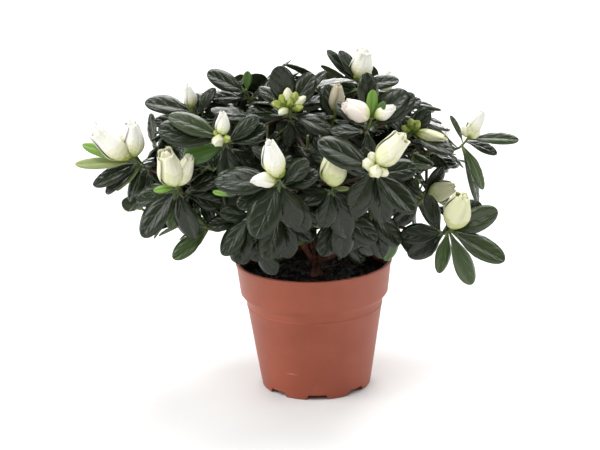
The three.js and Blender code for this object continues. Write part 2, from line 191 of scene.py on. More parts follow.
# Living tissue: leathery leaves with a waxy gloss, petals, young shoots and bud scales. Each has one plain
# colour, dealt out by spray, leaf or band. Wrinkle and depth are in millimetres, and shine weakens or keeps
# the mirrored share that its IOR gives. Petals and green buds have petalFolds' depth.
tissueLooks = {
    "leafDark": {"colour": "#2b3819", "wrinkle": 1.0, "depth": 0.3, "roughness": 0.26, "shine": 0.4},
    # leafDeep is both a random spray tone and the painted shade of shoots set deep in the crown
    "leafDeep": {"colour": "#19220f", "wrinkle": 1.1, "depth": 0.34, "roughness": 0.25, "shine": 0.31},
    "leafSage": {"colour": "#425030", "wrinkle": 1.0, "depth": 0.27, "roughness": 0.3, "shine": 0.46},
    "leafMid": {"colour": "#364a1a", "wrinkle": 1.0, "depth": 0.28, "roughness": 0.28, "shine": 0.38},
    "leafGreen": {"colour": "#3a591c", "wrinkle": 1.1, "depth": 0.24, "roughness": 0.33, "shine": 0.4},
    "leafYoung": {"colour": "#678c30", "wrinkle": 1.2, "depth": 0.16, "roughness": 0.42, "shine": 0.4},
    "leafOlive": {"colour": "#88945b", "wrinkle": 1.2, "depth": 0.14, "roughness": 0.48, "shine": 0.4},
    "leafStalk": {"colour": "#52603a", "wrinkle": 1.0, "depth": 0.1, "roughness": 0.5},
    "underDark": {"colour": "#4e5b3e", "wrinkle": 1.4, "depth": 0.25, "roughness": 0.6},
    "underYoung": {"colour": "#7c9654", "wrinkle": 1.4, "depth": 0.2, "roughness": 0.6},
    "edgeHairs": {"colour": "#6b7560", "wrinkle": 0.6, "depth": 0.05, "roughness": 0.7},
    "edgeYoung": {"colour": "#98ac6c", "wrinkle": 0.6, "depth": 0.05, "roughness": 0.7},
    "petalWhite": {"colour": "#e3e2d8", "wrinkle": 2.6, "roughness": 0.5},
    "petalCream": {"colour": "#dcdac0", "wrinkle": 2.6, "roughness": 0.5},
    "petalIvory": {"colour": "#d1d1ab", "wrinkle": 2.6, "roughness": 0.5},
    "petalPale": {"colour": "#bfc48c", "wrinkle": 2.6, "roughness": 0.5},
    "petalLime": {"colour": "#9ba750", "wrinkle": 1.8, "roughness": 0.5},
    "budGreen": {"colour": "#6f812b", "wrinkle": 1.4, "roughness": 0.5},
    "petalBlush": {"colour": "#e2d7cd", "wrinkle": 2.6, "roughness": 0.5},
    "petalBeige": {"colour": "#b4ab91", "wrinkle": 2.6, "roughness": 0.55},
    "shootGreen": {"colour": "#636a3a", "wrinkle": 0.9, "depth": 0.2, "roughness": 0.6},
    "shootBrown": {"colour": "#4d382b", "wrinkle": 0.9, "depth": 0.3, "roughness": 0.7},
}
tissueIor = {"leaf": 1.55, "other": 1.45}
veinLook = {
    "pairs": 4.2,
    "wander": 1.3,
    "wanderSize": 8,
    "sharpness": 0.42,
    "ribWidth": 0.15,
    "fade": 0.55,
    "fadeFrom": 0.2,
    "wrinkleShare": 0.5,
}
petalFolds = {"count": (9, 1.3, 1), "depth": 0.9, "wrinkleShare": 0.3}


# Long shallow folds that run up each petal, on its own map: round it and up it
def foldRelief(material, wrinkle):
    sheet = addNode(material, "ShaderNodeUVMap", {"uv_map": "sheet"})
    count = {"Scale": petalFolds["count"]}
    mapping = addNode(material, "ShaderNodeMapping", {}, count, {"Vector": (sheet, "UV")})
    values = {"Scale": 1.0, "Detail": 2, "Roughness": 0.5}
    folds = addNode(material, "ShaderNodeTexNoise", {}, values, {"Vector": (mapping, "Vector")})
    share = {1: petalFolds["wrinkleShare"]}
    links = {0: (wrinkle, "Fac"), 2: (folds, "Fac")}
    return addNode(material, "ShaderNodeMath", {"operation": "MULTIPLY_ADD"}, share, links)


# Height of the blade between its sunken side veins, read from its own map: across it and along it
def veinRelief(material, place, wrinkle):
    blade = addNode(material, "ShaderNodeUVMap", {"uv_map": "blade"})
    apart = addNode(material, "ShaderNodeSeparateXYZ", {}, {}, {"Vector": (blade, "UV")})
    turns = {1: veinLook["pairs"] * math.pi}
    waves = addNode(material, "ShaderNodeMath", {"operation": "MULTIPLY"}, turns, {0: (apart, "Y")})
    drift = grainOf(material, place, veinLook["wanderSize"], 1)
    wander = {1: veinLook["wander"]}
    links = {0: (drift, "Fac"), 2: (waves, "Value")}
    bent = addNode(material, "ShaderNodeMath", {"operation": "MULTIPLY_ADD"}, wander, links)
    wave = addNode(material, "ShaderNodeMath", {"operation": "SINE"}, {}, {0: (bent, "Value")})
    hump = addNode(material, "ShaderNodeMath", {"operation": "ABSOLUTE"}, {}, {0: (wave, "Value")})
    sharp = {1: veinLook["sharpness"]}
    pleat = addNode(material, "ShaderNodeMath", {"operation": "POWER"}, sharp, {0: (hump, "Value")})
    offset = addNode(material, "ShaderNodeMath", {"operation": "SUBTRACT"}, {1: 0.5}, {0: (apart, "X")})
    reach = addNode(material, "ShaderNodeMath", {"operation": "ABSOLUTE"}, {}, {0: (offset, "Value")})
    rib = addNode(
        material, "ShaderNodeMapRange", {"interpolation_type": "SMOOTHSTEP"},
        {"From Min": 0.0, "From Max": veinLook["ribWidth"] / 2, "To Min": 0.0, "To Max": 1.0},
        {"Value": (reach, "Value")},
    )
    fade = addNode(
        material, "ShaderNodeMapRange", {},
        {"From Min": veinLook["fadeFrom"], "From Max": 0.5, "To Min": 1.0, "To Max": 1 - veinLook["fade"]},
        {"Value": (reach, "Value")},
    )
    swell = addNode(
        material, "ShaderNodeMath", {"operation": "MULTIPLY"}, {}, {0: (pleat, "Value"), 1: (fade, "Result")}
    )
    both = addNode(
        material, "ShaderNodeMath", {"operation": "MULTIPLY"}, {}, {0: (swell, "Value"), 1: (rib, "Result")}
    )
    return addNode(
        material, "ShaderNodeMath", {"operation": "MULTIPLY_ADD"}, {1: veinLook["wrinkleShare"]},
        {0: (wrinkle, "Fac"), 2: (both, "Value")},
    )


def tissueFinish(name):
    look = tissueLooks[name]
    ior = tissueIor["leaf" if name.startswith("leaf") else "other"]
    material, shader, place = newFinish(name, look["roughness"], ior)
    shader.inputs["Base Color"].default_value = linearColour(look["colour"])
    shader.inputs["Specular IOR Level"].default_value = look.get("shine", 0.5)
    wrinkle = grainOf(material, place, look["wrinkle"], 2)
    if name.startswith("leaf") and name != "leafStalk":
        setBump(material, shader, veinRelief(material, place, wrinkle), "Value", look["depth"])
    elif name.startswith("petal") or name == "budGreen":
        setBump(material, shader, foldRelief(material, wrinkle), "Value", petalFolds["depth"])
    else:
        setBump(material, shader, wrinkle, "Fac", look["depth"])
    return material


tissue = {name: tissueFinish(name) for name in tissueLooks}


# Pot: injection-moulded polypropylene, coloured like terracotta. Matte skin, cloudy pigment, a few scuffs.
potLook = {
    "roughness": 0.5,
    "ior": 1.49,
    "pigmentLow": "#90432a",
    "pigmentHigh": "#984a31",
    "cloud": 26,
    "skin": 0.9,
    "skinDepth": 0.05,
    "scuffDark": "#5d352c",
    "scuffPale": "#c08e7e",
    "scuffReach": (0.9, 1.5),
    "scuffStrength": 0.55,
    "smear": 2.2,
    "scuffs": [
        {"place": (-5.5, -43.5, 41), "size": (1.6, 5, 2.6), "dark": True},
        {"place": (8.5, -43.5, 33), "size": (1.6, 5, 1.6), "dark": True},
        {"place": (-3, -41, 13.5), "size": (2.4, 5, 1.8), "dark": True},
        {"place": (-34, -31, 56), "size": (1.1, 5, 1.1), "dark": True},
        {"place": (9.5, -44, 55), "size": (2.8, 5, 2.2), "dark": False},
        {"place": (-17, -39, 21.5), "size": (7, 5, 0.9), "dark": False},
    ],
}
potForm = {
    "height": 101,
    "rim": 60,
    "bandFoot": (56.6, 75),
    "shoulder": (52.8, 70.7),
    "base": 42,
    "wall": 1.4,
    "floor": 2,
    "lip": 0.45,
    "moldLine": {"height": 64.2, "tall": 1.2, "proud": 0.28},
    "steps": 144,
    "notch": {
        "count": 8, "width": 18, "topWidth": 14, "height": 4,
        "depth": 8, "roof": 1.5, "below": 2, "outward": 6,
    },
    "sharpFrom": 40,
}
colourSockets = {"under": 6, "over": 7, "out": 2}  # of the Mix node, set to colour


def potFinish():
    material, shader, place = newFinish("mouldedPolypropylene", potLook["roughness"], potLook["ior"])
    cloud = grainOf(material, place, potLook["cloud"], 4)
    ramp = setColour(material, shader, cloud, "Fac", potLook["pigmentLow"], potLook["pigmentHigh"])
    colour, output = ramp, "Color"
    smear = grainOf(material, place, potLook["smear"], 3)
    full, gone = potLook["scuffReach"]
    span = {"From Min": gone, "From Max": full, "To Min": 0.0, "To Max": potLook["scuffStrength"]}
    for scuff in potLook["scuffs"]:
        centre = Vector(scuff["place"]) * mm
        values = {"Location": [-c / (s * mm) for c, s in zip(centre, scuff["size"])]}
        values["Scale"] = [1 / (s * mm) for s in scuff["size"]]
        near = addNode(material, "ShaderNodeMapping", {}, values, {"Vector": (place, "Object")})
        away = addNode(material, "ShaderNodeVectorMath", {"operation": "LENGTH"}, {}, {0: (near, "Vector")})
        links = {0: (away, "Value"), 1: (smear, "Fac")}
        fray = addNode(material, "ShaderNodeMath", {"operation": "ADD"}, {}, links)
        mask = addNode(material, "ShaderNodeMapRange", {}, span, {"Value": (fray, "Value")})
        tone = {colourSockets["over"]: linearColour(potLook["scuffDark" if scuff["dark"] else "scuffPale"])}
        links = {"Factor": (mask, "Result"), colourSockets["under"]: (colour, output)}
        colour = addNode(material, "ShaderNodeMix", {"data_type": "RGBA"}, tone, links)
        output = colourSockets["out"]
    material.node_tree.links.new(colour.outputs[output], shader.inputs["Base Color"])
    skin = grainOf(material, place, potLook["skin"], 2)
    setBump(material, shader, skin, "Fac", potLook["skinDepth"])
    return material


# A closed shell turned about the upright axis from (radius, height) points
def spunMesh(profile, steps):
    bm = bmesh.new()
    points = [bm.verts.new((radius * mm, 0, height * mm)) for radius, height in profile]
    edges = [bm.edges.new(pair) for pair in zip(points, points[1:])]
    turn = 2 * math.pi
    bmesh.ops.spin(
        bm, geom=points + edges, axis=(0, 0, 1), cent=(0, 0, 0), steps=steps, angle=turn, use_merge=True
    )
    bmesh.ops.remove_doubles(bm, verts=bm.verts, dist=0.02 * mm)
    bmesh.ops.recalc_face_normals(bm, faces=bm.faces)
    return bm


# Boolean of two meshes, made real
def combined(mesh, other, operation):
    holder, tool = placed("holder", mesh), placed("tool", other)
    cut = holder.modifiers.new("cut", "BOOLEAN")
    cut.operation, cut.solver, cut.object = operation, "EXACT", tool
    result = madeReal(holder)
    bpy.data.objects.remove(tool)
    return result


def wallRadius(height):
    share = height / potForm["shoulder"][1]
    return potForm["base"] + (potForm["shoulder"][0] - potForm["base"]) * share


# Eight wedges round the foot of the pot, for the drain notches and the pockets behind them
def notchPrisms(grow):
    notch = potForm["notch"]
    bm = bmesh.new()
    for i in range(notch["count"]):
        made = bmesh.ops.create_cube(bm, size=1)["verts"]
        for vert in made:
            top = vert.co.z > 0
            half = (notch["topWidth"] if top else notch["width"]) / 2 + grow
            vert.co.x = math.copysign(half, vert.co.x)
            vert.co.z = notch["height"] + grow if top else (0 if grow else -notch["below"])
            back = notch["depth"] + grow
            vert.co.y = -potForm["base"] + (back if vert.co.y > 0 else -notch["outward"])
        bmesh.ops.scale(bm, vec=(mm, mm, mm), verts=made)
        turn = Matrix.Rotation(i * 2 * math.pi / notch["count"], 3, "Z")
        bmesh.ops.rotate(bm, cent=(0, 0, 0), matrix=turn, verts=made)
    bmesh.ops.recalc_face_normals(bm, faces=bm.faces)
    return meshOf(bm, "notches")


# Half section from the middle of the underside, up the outside over the lip, then down the inside
def potProfile():
    form = potForm
    wall, lip, line = form["wall"], form["lip"], form["moldLine"]
    shoulderRadius, shoulderHeight = form["shoulder"]
    footRadius, footHeight = form["bandFoot"]
    lineTop = line["height"] + line["tall"]
    outside = [
        (0, 0),
        (form["base"] - 1.2, 0),
        (form["base"] - 0.5, 0.15),
        (form["base"], 0.6),
        (wallRadius(1.4), 1.4),
        (wallRadius(line["height"] - 0.3), line["height"] - 0.3),
        (wallRadius(line["height"]) + line["proud"], line["height"]),
        (wallRadius(lineTop) + line["proud"], lineTop),
        (wallRadius(lineTop + 0.3), lineTop + 0.3),
        (shoulderRadius - 0.05, shoulderHeight - 0.7),
        (shoulderRadius + 0.3, shoulderHeight + 0.2),
        (footRadius - 0.7, footHeight - 0.8),
        (footRadius, footHeight + 0.2),
        (footRadius + 0.15, footHeight + 1),
        (form["rim"] - 0.75, form["height"] - 3.4),
        (form["rim"] - 0.1, form["height"] - 2.7),
        (form["rim"], form["height"] - 2.2),
        (form["rim"], form["height"] - lip),
        (form["rim"] - lip, form["height"]),
    ]
    inside = [
        (form["rim"] - wall - 0.2, form["height"]),
        (form["rim"] - wall - 0.2 - lip, form["height"] - lip),
        (form["rim"] - wall - 0.75, form["height"] - 3.4),
        (footRadius - wall, footHeight + wall),
        (shoulderRadius - wall, shoulderHeight + wall),
        (wallRadius(form["floor"]) - wall, form["floor"]),
        (0, form["floor"]),
    ]
    return outside, inside


def makePot():
    outside, inside = potProfile()
    body = meshOf(spunMesh(outside + [(0, potForm["height"])], potForm["steps"]), "body")
    pockets = combined(notchPrisms(potForm["notch"]["roof"]), body, "INTERSECT")
    shell = combined(meshOf(spunMesh(outside + inside, potForm["steps"]), "pot"), pockets, "UNION")
    shell = combined(shell, notchPrisms(0), "DIFFERENCE")
    shell.materials.clear()
    pot = finishPiece(shell, "nursery_pot", [potFinish()], ["pot"])
    pot.data.set_sharp_from_angle(angle=math.radians(potForm["sharpFrom"]))


makePot()
print("pot done")


# Peat: near black, moist and crumbly, with a few brown fibres. Crumbs stand on a lumpy bed.
peatForm = {
    "height": 90,
    "sunk": 0.6,
    "edge": 56.2,
    "edgeHeight": 88.6,
    "level": 53,
    "foot": 6,
    "clear": 2,
    "shoulder": 72,
    "band": (54.6, 77),
    "surfaceFrom": 80,
    "rings": 44,
    "steps": 150,
    "calm": 0.7,
    "lump": {"depth": 1.1, "size": 5, "slice": 3},
    "grit": {"depth": 0.5, "size": 1.6, "slice": 9},
}
crumbForm = {
    "count": 1500,
    "sizes": (0.5, 1.9),
    "inset": 1,
    "stand": 0.2,
    "fibres": 0.06,
    "fibreShape": (2.6, 0.3, 0.3),
    "brown": 0.25,
    "flatness": (0.6, 0.4),
    "height": (0.5, 0.4),
    "seed": 511,
}


peatLook = {"roughness": 0.85, "ior": 1.4, "mottle": 1.6, "span": (0.4, 0.75), "grain": 0.8, "depth": 0.5}


def peatFinish(name, low, high):
    look = peatLook
    material, shader, place = newFinish(name, look["roughness"], look["ior"])
    mottle = grainOf(material, place, look["mottle"], 4)
    setColour(material, shader, mottle, "Fac", low, high, look["span"])
    setBump(material, shader, grainOf(material, place, look["grain"], 3), "Fac", look["depth"])
    return material


# Height of the peat's surface over a spot, all in millimetres
def bedHeight(x, y):
    form = peatForm
    fall = min(1, max(0, (math.hypot(x, y) - form["level"]) / (form["edge"] - form["level"])))
    rough = [
        noise.noise(Vector((x, y, kind["slice"])) / kind["size"]) * kind["depth"]
        for kind in (form["lump"], form["grit"])
    ]
    relief = (rough[0] + rough[1]) * (1 - form["calm"] * fall)
    return form["height"] - form["sunk"] + relief + (form["edgeHeight"] - form["height"]) * fall


def makePeat():
    form = peatForm
    count = form["rings"]
    rings = [(form["edge"] * math.sqrt(i / count), form["height"]) for i in range(count, -1, -1)]
    sides = [
        (0, form["foot"]),
        (wallRadius(form["foot"]) - form["clear"], form["foot"]),
        (potForm["shoulder"][0] - form["clear"], form["shoulder"]),
        form["band"],
    ]
    bm = spunMesh(sides + rings, form["steps"])
    for vert in bm.verts:
        if vert.co.z > form["surfaceFrom"] * mm:
            vert.co.z = bedHeight(vert.co.x / mm, vert.co.y / mm) * mm
    bmesh.ops.recalc_face_normals(bm, faces=bm.faces)
    finishes = [peatFinish("moistPeat", "#080504", "#1d1410")]
    finishPiece(meshOf(bm, "peat"), "peat", finishes, ["soil"])


def makeCrumbs():
    form = crumbForm
    draw = seededNumbers(form["seed"])
    bm = bmesh.new()
    for i in range(form["count"]):
        reach = (peatForm["edge"] - form["inset"]) * math.sqrt(draw())
        angle = 2 * math.pi * draw()
        size = form["sizes"][0] + (form["sizes"][1] - form["sizes"][0]) * draw() ** 3
        fibre = draw() < form["fibres"]
        made = bmesh.ops.create_icosphere(bm, subdivisions=1, radius=size * mm)["verts"]
        if fibre:
            shape = Vector(form["fibreShape"])
        else:
            shape = Vector((1, between(form["flatness"], draw()), between(form["height"], draw())))
        bmesh.ops.scale(bm, vec=shape, verts=made)
        turn = Quaternion((draw() - 0.5, draw() - 0.5, 2), 2 * math.pi * draw()).to_matrix()
        bmesh.ops.rotate(bm, cent=(0, 0, 0), matrix=turn, verts=made)
        x, y = reach * math.cos(angle), reach * math.sin(angle)
        bmesh.ops.translate(bm, vec=Vector((x, y, bedHeight(x, y) + form["stand"] * size)) * mm, verts=made)
        tone = 2 if fibre else (1 if draw() < form["brown"] else 0)
        for vert in made:
            for face in vert.link_faces:
                face.material_index = tone
    finishes = [
        peatFinish("peatCrumb", "#0c0807", "#241813"),
        peatFinish("peatCrumbBrown", "#1c110c", "#38251a"),
        peatFinish("peatFibre", "#4a3324", "#6e5440"),
    ]
    finishPiece(meshOf(bm, "crumbs"), "peat_crumbs", finishes, smooth=False)


makePeat()
makeCrumbs()
print("peat done")


# The crown: a dome about a heart point, drawn in below it. Each of its spaces has a bough: the space's way
# from the heart, what the bough leaves and where along it, its radius, how it bows up and how it sways.
viewerLift = math.radians(cameraView["elevation"])
viewerWay = Vector((0, -math.cos(viewerLift), math.sin(viewerLift)))
heart = Vector((-8, 0, 150))
domeRadii = {"across": 132, "deep": 118, "up": 91, "down": 60}
spaceWords = ("place", "turn", "lift", "from", "at", "radius", "bow", "sway")
spaceRows = [
    ("top_front", -14, 62, "trunk", 0.97, 2.3, 4, (-9, -4)),
    ("top", 110, 74, "trunk", 0.97, 2.4, 4, (10, 3)),
    ("upper_left", -92, 44, "top_front", 0.42, 1.8, 4, (0, 0)),
    ("upper_right", 58, 46, "top", 0.5, 1.8, 3, (0, 0)),
    ("front", 3, 15, "top_front", 0.3, 1.7, 5, (3, 0)),
    ("front_left", -39, 25, "top_front", 0.36, 1.7, 3, (0, 0)),
    ("left", -72, 14, "top_front", 0.24, 2, 7, (0, 0)),
    ("front_right", 32, 19, "top", 0.26, 1.7, 4, (0, 0)),
    ("right", 88, 18, "top", 0.3, 2, 7, (0, 0)),
    ("low_right", 60, -16, "trunk", 0.6, 1.6, -2, (3, -6)),
    ("low_left", -60, -16, "soil", 0, 1.7, 2, (-6, 0)),
    ("back_left", -134, 20, "top_front", 0.5, 1.8, 4, (0, 0)),
    ("back", 180, 38, "top", 0.44, 1.8, 4, (0, 0)),
    ("back_right", 134, 20, "top", 0.36, 1.8, 5, (0, 0)),
    ("low_back", 180, -8, "trunk", 0.75, 1.7, 4, (0, 4)),
]
spaces = [dict(zip(spaceWords, row)) for row in spaceRows]
limbForm = {
    "stemFoot": (-46, 20),
    "above": 0.3,
    "leaders": ("top_front", "top"),
    "rooted": ("trunk", "low_left"),
    "tipRadius": 1.3,
    "reach": 52,
    "bends": (0.3, 0.68),
    "trunkFoot": (2, -9),
    "trunkFork": (0, -10, 105),
    "trunkLean": 0.6,
    "trunkRadius": 3,
    "trunkTop": 2.7,
    "cleft": 0.3,
    "flare": 2.4,
    "sunk": 3,
    "sunkFlare": 1.1,
    "steps": 28,
    "voxel": 0.5,
    "soften": (0.5, 3),
    "ridge": 0.22,
    "ridgeSize": 1.5,
    "ridgeStretch": 0.35,
    "clearSteps": 8,
    "clearRadii": {"trunk": 3.2, "bough": 2},
}


# Point of the smooth curve through points
def curvePoint(points, share):
    last = len(points) - 1
    at = min(max(share, 0), 1) * last
    i = min(int(at), last - 1)
    t = at - i
    p1, p2 = points[i], points[i + 1]
    p0 = points[i - 1] if i > 0 else 2 * p1 - p2
    p3 = points[i + 2] if i + 2 <= last else 2 * p2 - p1
    v0, v1 = (p2 - p0) / 2, (p3 - p1) / 2
    return (2 * p1 - 2 * p2 + v0 + v1) * t ** 3 + (-3 * p1 + 3 * p2 - 2 * v0 - v1) * t ** 2 + v0 * t + p1


def curveTangent(points, share):
    step = 1e-3
    return (curvePoint(points, share + step) - curvePoint(points, share - step)).normalized()


# All the tubes as one mesh, each a list of points and one of radii in millimetres
def tubesMesh(name, tubes, resolution):
    data = bpy.data.curves.new(name, "CURVE")
    data.dimensions = "3D"
    data.bevel_depth = mm
    data.bevel_resolution = resolution
    data.use_fill_caps = True
    for points, radii in tubes:
        spline = data.splines.new("POLY")
        spline.points.add(len(points) - 1)
        for spot, point, radius in zip(spline.points, points, radii):
            spot.co = (*(point * mm), 1)
            spot.radius = radius
        spline.use_smooth = True
    return madeReal(placed(name, data))


def limbCurves():
    form = limbForm
    ground = peatForm["height"] + form["above"]
    foot = Vector((*form["trunkFoot"], ground))
    fork = Vector(form["trunkFork"])
    curves = {"trunk": [foot, foot.lerp(fork, 0.5) + Vector((form["trunkLean"], 0, 0)), fork]}
    for space in spaces:
        end = heart + directionOf(space["turn"], space["lift"]) * form["reach"]
        if space["from"] == "soil":
            start = Vector((*form["stemFoot"], ground))
        elif space["place"] in form["leaders"]:
            start = curvePoint(curves["trunk"], form["cleft"])
        else:
            start = curvePoint(curves[space["from"]], space["at"])
        x, y = space["sway"]
        low = start.lerp(end, form["bends"][0]) + Vector((x, y, space["bow"]))
        high = start.lerp(end, form["bends"][1]) + Vector((x / 2, y / 2, space["bow"]))
        curves[space["place"]] = [start, low, high, end]
    return curves


limbs = limbCurves()


# Bark: thin, reddish brown, dull, with fine ridges along the wood and paler scars
barkLook = {
    "roughness": 0.75,
    "ior": 1.45,
    "grain": 2.2,
    "stretch": (1, 1, 0.3),
    "tones": ("#4a2a20", "#6d4232", "#8a5a45"),
    "span": (0.3, 0.7),
    "depth": 0.35,
}


def barkFinish():
    look = barkLook
    material, shader, place = newFinish("azaleaBark", look["roughness"], look["ior"])
    ridges = grainOf(material, place, look["grain"], 4, look["stretch"])
    low, middle, high = look["tones"]
    ramp = setColour(material, shader, ridges, "Fac", low, high, look["span"])
    ramp.color_ramp.elements.new(0.5).color = linearColour(middle)
    setBump(material, shader, ridges, "Fac", look["depth"])
    return material


def limbTube(place, curve):
    form = limbForm
    reach = form["cleft"] if place == "trunk" else 1
    shares = [i / form["steps"] * reach for i in range(form["steps"] + 1)]
    points = [curvePoint(curve, share) for share in shares]
    if place == "trunk":
        rise = form["trunkTop"] - form["trunkRadius"]
        radii = [form["trunkRadius"] + rise * s + form["flare"] * (1 - s) ** 3 for s in shares]
    else:
        start = next(space["radius"] for space in spaces if space["place"] == place)
        radii = [start + (form["tipRadius"] - start) * s for s in shares]
    if place in form["rooted"]:
        points.insert(0, points[0] - upward * form["sunk"])
        radii.insert(0, radii[0] * form["sunkFlare"])
    return points, radii


def addRidges(bark):
    form = limbForm
    count = len(bark.vertices)
    spots, normals = np.empty(count * 3), np.empty(count * 3)
    bark.vertices.foreach_get("co", spots)
    bark.vertices.foreach_get("normal", normals)
    spots, normals = spots.reshape(-1, 3), normals.reshape(-1, 3)
    for i in range(count):
        x, y, z = spots[i] / mm
        along = Vector((x, y, z * form["ridgeStretch"])) / form["ridgeSize"]
        ridge = noise.fractal(along, 0.8, 2.0, 3) * form["ridge"]
        spots[i] += normals[i] * ridge * mm
    bark.vertices.foreach_set("co", spots.ravel())
    bark.update()


def makeBark():
    form = limbForm
    tubes = [limbTube(place, curve) for place, curve in limbs.items()]
    holder = placed("holder", tubesMesh("bark", tubes, 3))
    fuse = holder.modifiers.new("fuse", "REMESH")
    fuse.mode, fuse.voxel_size, fuse.use_smooth_shade = "VOXEL", form["voxel"] * mm, True
    soften = holder.modifiers.new("soften", "SMOOTH")
    soften.factor, soften.iterations = form["soften"]
    bark = madeReal(holder)
    bark.materials.clear()
    addRidges(bark)
    boughs = [f"bough_{space['place']}" for space in spaces if space["from"] != "soil"]
    finishPiece(bark, "bark", [barkFinish()], ["trunk", "stem_left"] + boughs)


makeBark()
print("bark done")


# Shoots. Each lead is one that the photo shows: where it ends as seen from the heart, its buds and its
# leaves. A leaf is (clock hour, length) as the viewer in front sees it, then its tone and share of the
# usual width. A bud is (form, clock hour, share turned to the viewer, length, radius, tone).
leafForm = {
    "length": 39,
    "lengthVaries": (0.84, 0.28),
    "width": 0.53,
    "widest": (0.53, 0.1),
    "widthVaries": (0.9, 0.2),
    "droop": 0.48,
    "droopVaries": (0.3, 1.1),
    "twist": 0.5,
    "crease": 0.26,
    "creaseFrom": 0.4,
    "wave": 0.009,
    "relief": (0.8, 0.5),
    "rise": 0.35,
    "sunk": 0.4,
    "start": 3.5,
    "spacing": 2.0,
    "rows": 12,
    "columns": (-1, -0.64, -0.28, 0, 0.28, 0.64, 1),
    "crowding": 1.35,
    "footPower": 1.5,
    "endPower": 2.1,
    "waves": 1.5,
    "sweep": 0.24,
    "quilt": (-0.95, 0.2, 0.5, -0.9),
    "veins": (0.02, 0.2, 0.2, 0.02),
    "veinLean": 0.16,
    "fullSize": 40,
    "thickness": 0.4,
    "petiole": 0.55,
    "tipShare": 0.3,
    "folds": (1, 0.85, 0.7, 0.55),
    "shifts": (0, 2.2, -2.2),
    "shares": (1, 0.82),
    "turns": (0, 9, -9, 18, -18, 28, -28),
    "foldedLength": (0.6, 0.4),
    "fillerStep": 6,
    "nearest": -127,
    "young": ("leafYoung", "leafOlive"),
    "youngWidth": 0.68,
    "youngBend": 0.6,
    "smallSize": 18,
    "smallBend": 0.5,
    "smallStart": 2,
    "mostApart": 6,
}
shootForm = {
    "lean": 0.6,
    "facing": 0.6,
    "upturn": 15,
    "bendAt": 0.55,
    "stem": 9,
    "stemGap": 0.3,
    "stemSunk": 3,
    "spacing": 20,
    "spiral": 620,
    "highest": 0.99,
    "turnVaries": 10,
    "liftVaries": 6,
    "leaves": 8,
    "budShare": 0.4,
    "budsFrom": 120,
    "budsUnder": 45,
    "lowest": -0.16,
    # innerShadeTones squeezes the tone draw of shoots deep in the crown towards leafDeep and leafDark:
    # painted shade
    "innerShadeTones": 0.45,
    "innerReach": 76,
    "leadTones": 0.12,
    "ownTone": 0.85,
    "tipLeaf": {"share": 0.3, "green": 0.6, "length": 13},
    "seenTurn": 98,
    "seenLift": 64,
    "seenReach": (0.64, 0.24),
    "highFrom": 34,
    "highReach": (0.82, 0.17),
    "farReach": (0.86, 0.13),
    "sways": (0, 8, -8, 15, -15),
    "twigSteps": 14,
    "twigRadii": (1.25, 0.35),
    "greenFrom": 10,
    "footRings": 4,
    "openTurn": 62,
    "openLift": 8,
    "goldenTurn": 137.508,
    "seed": 20711,
    "seedStep": 97,
}
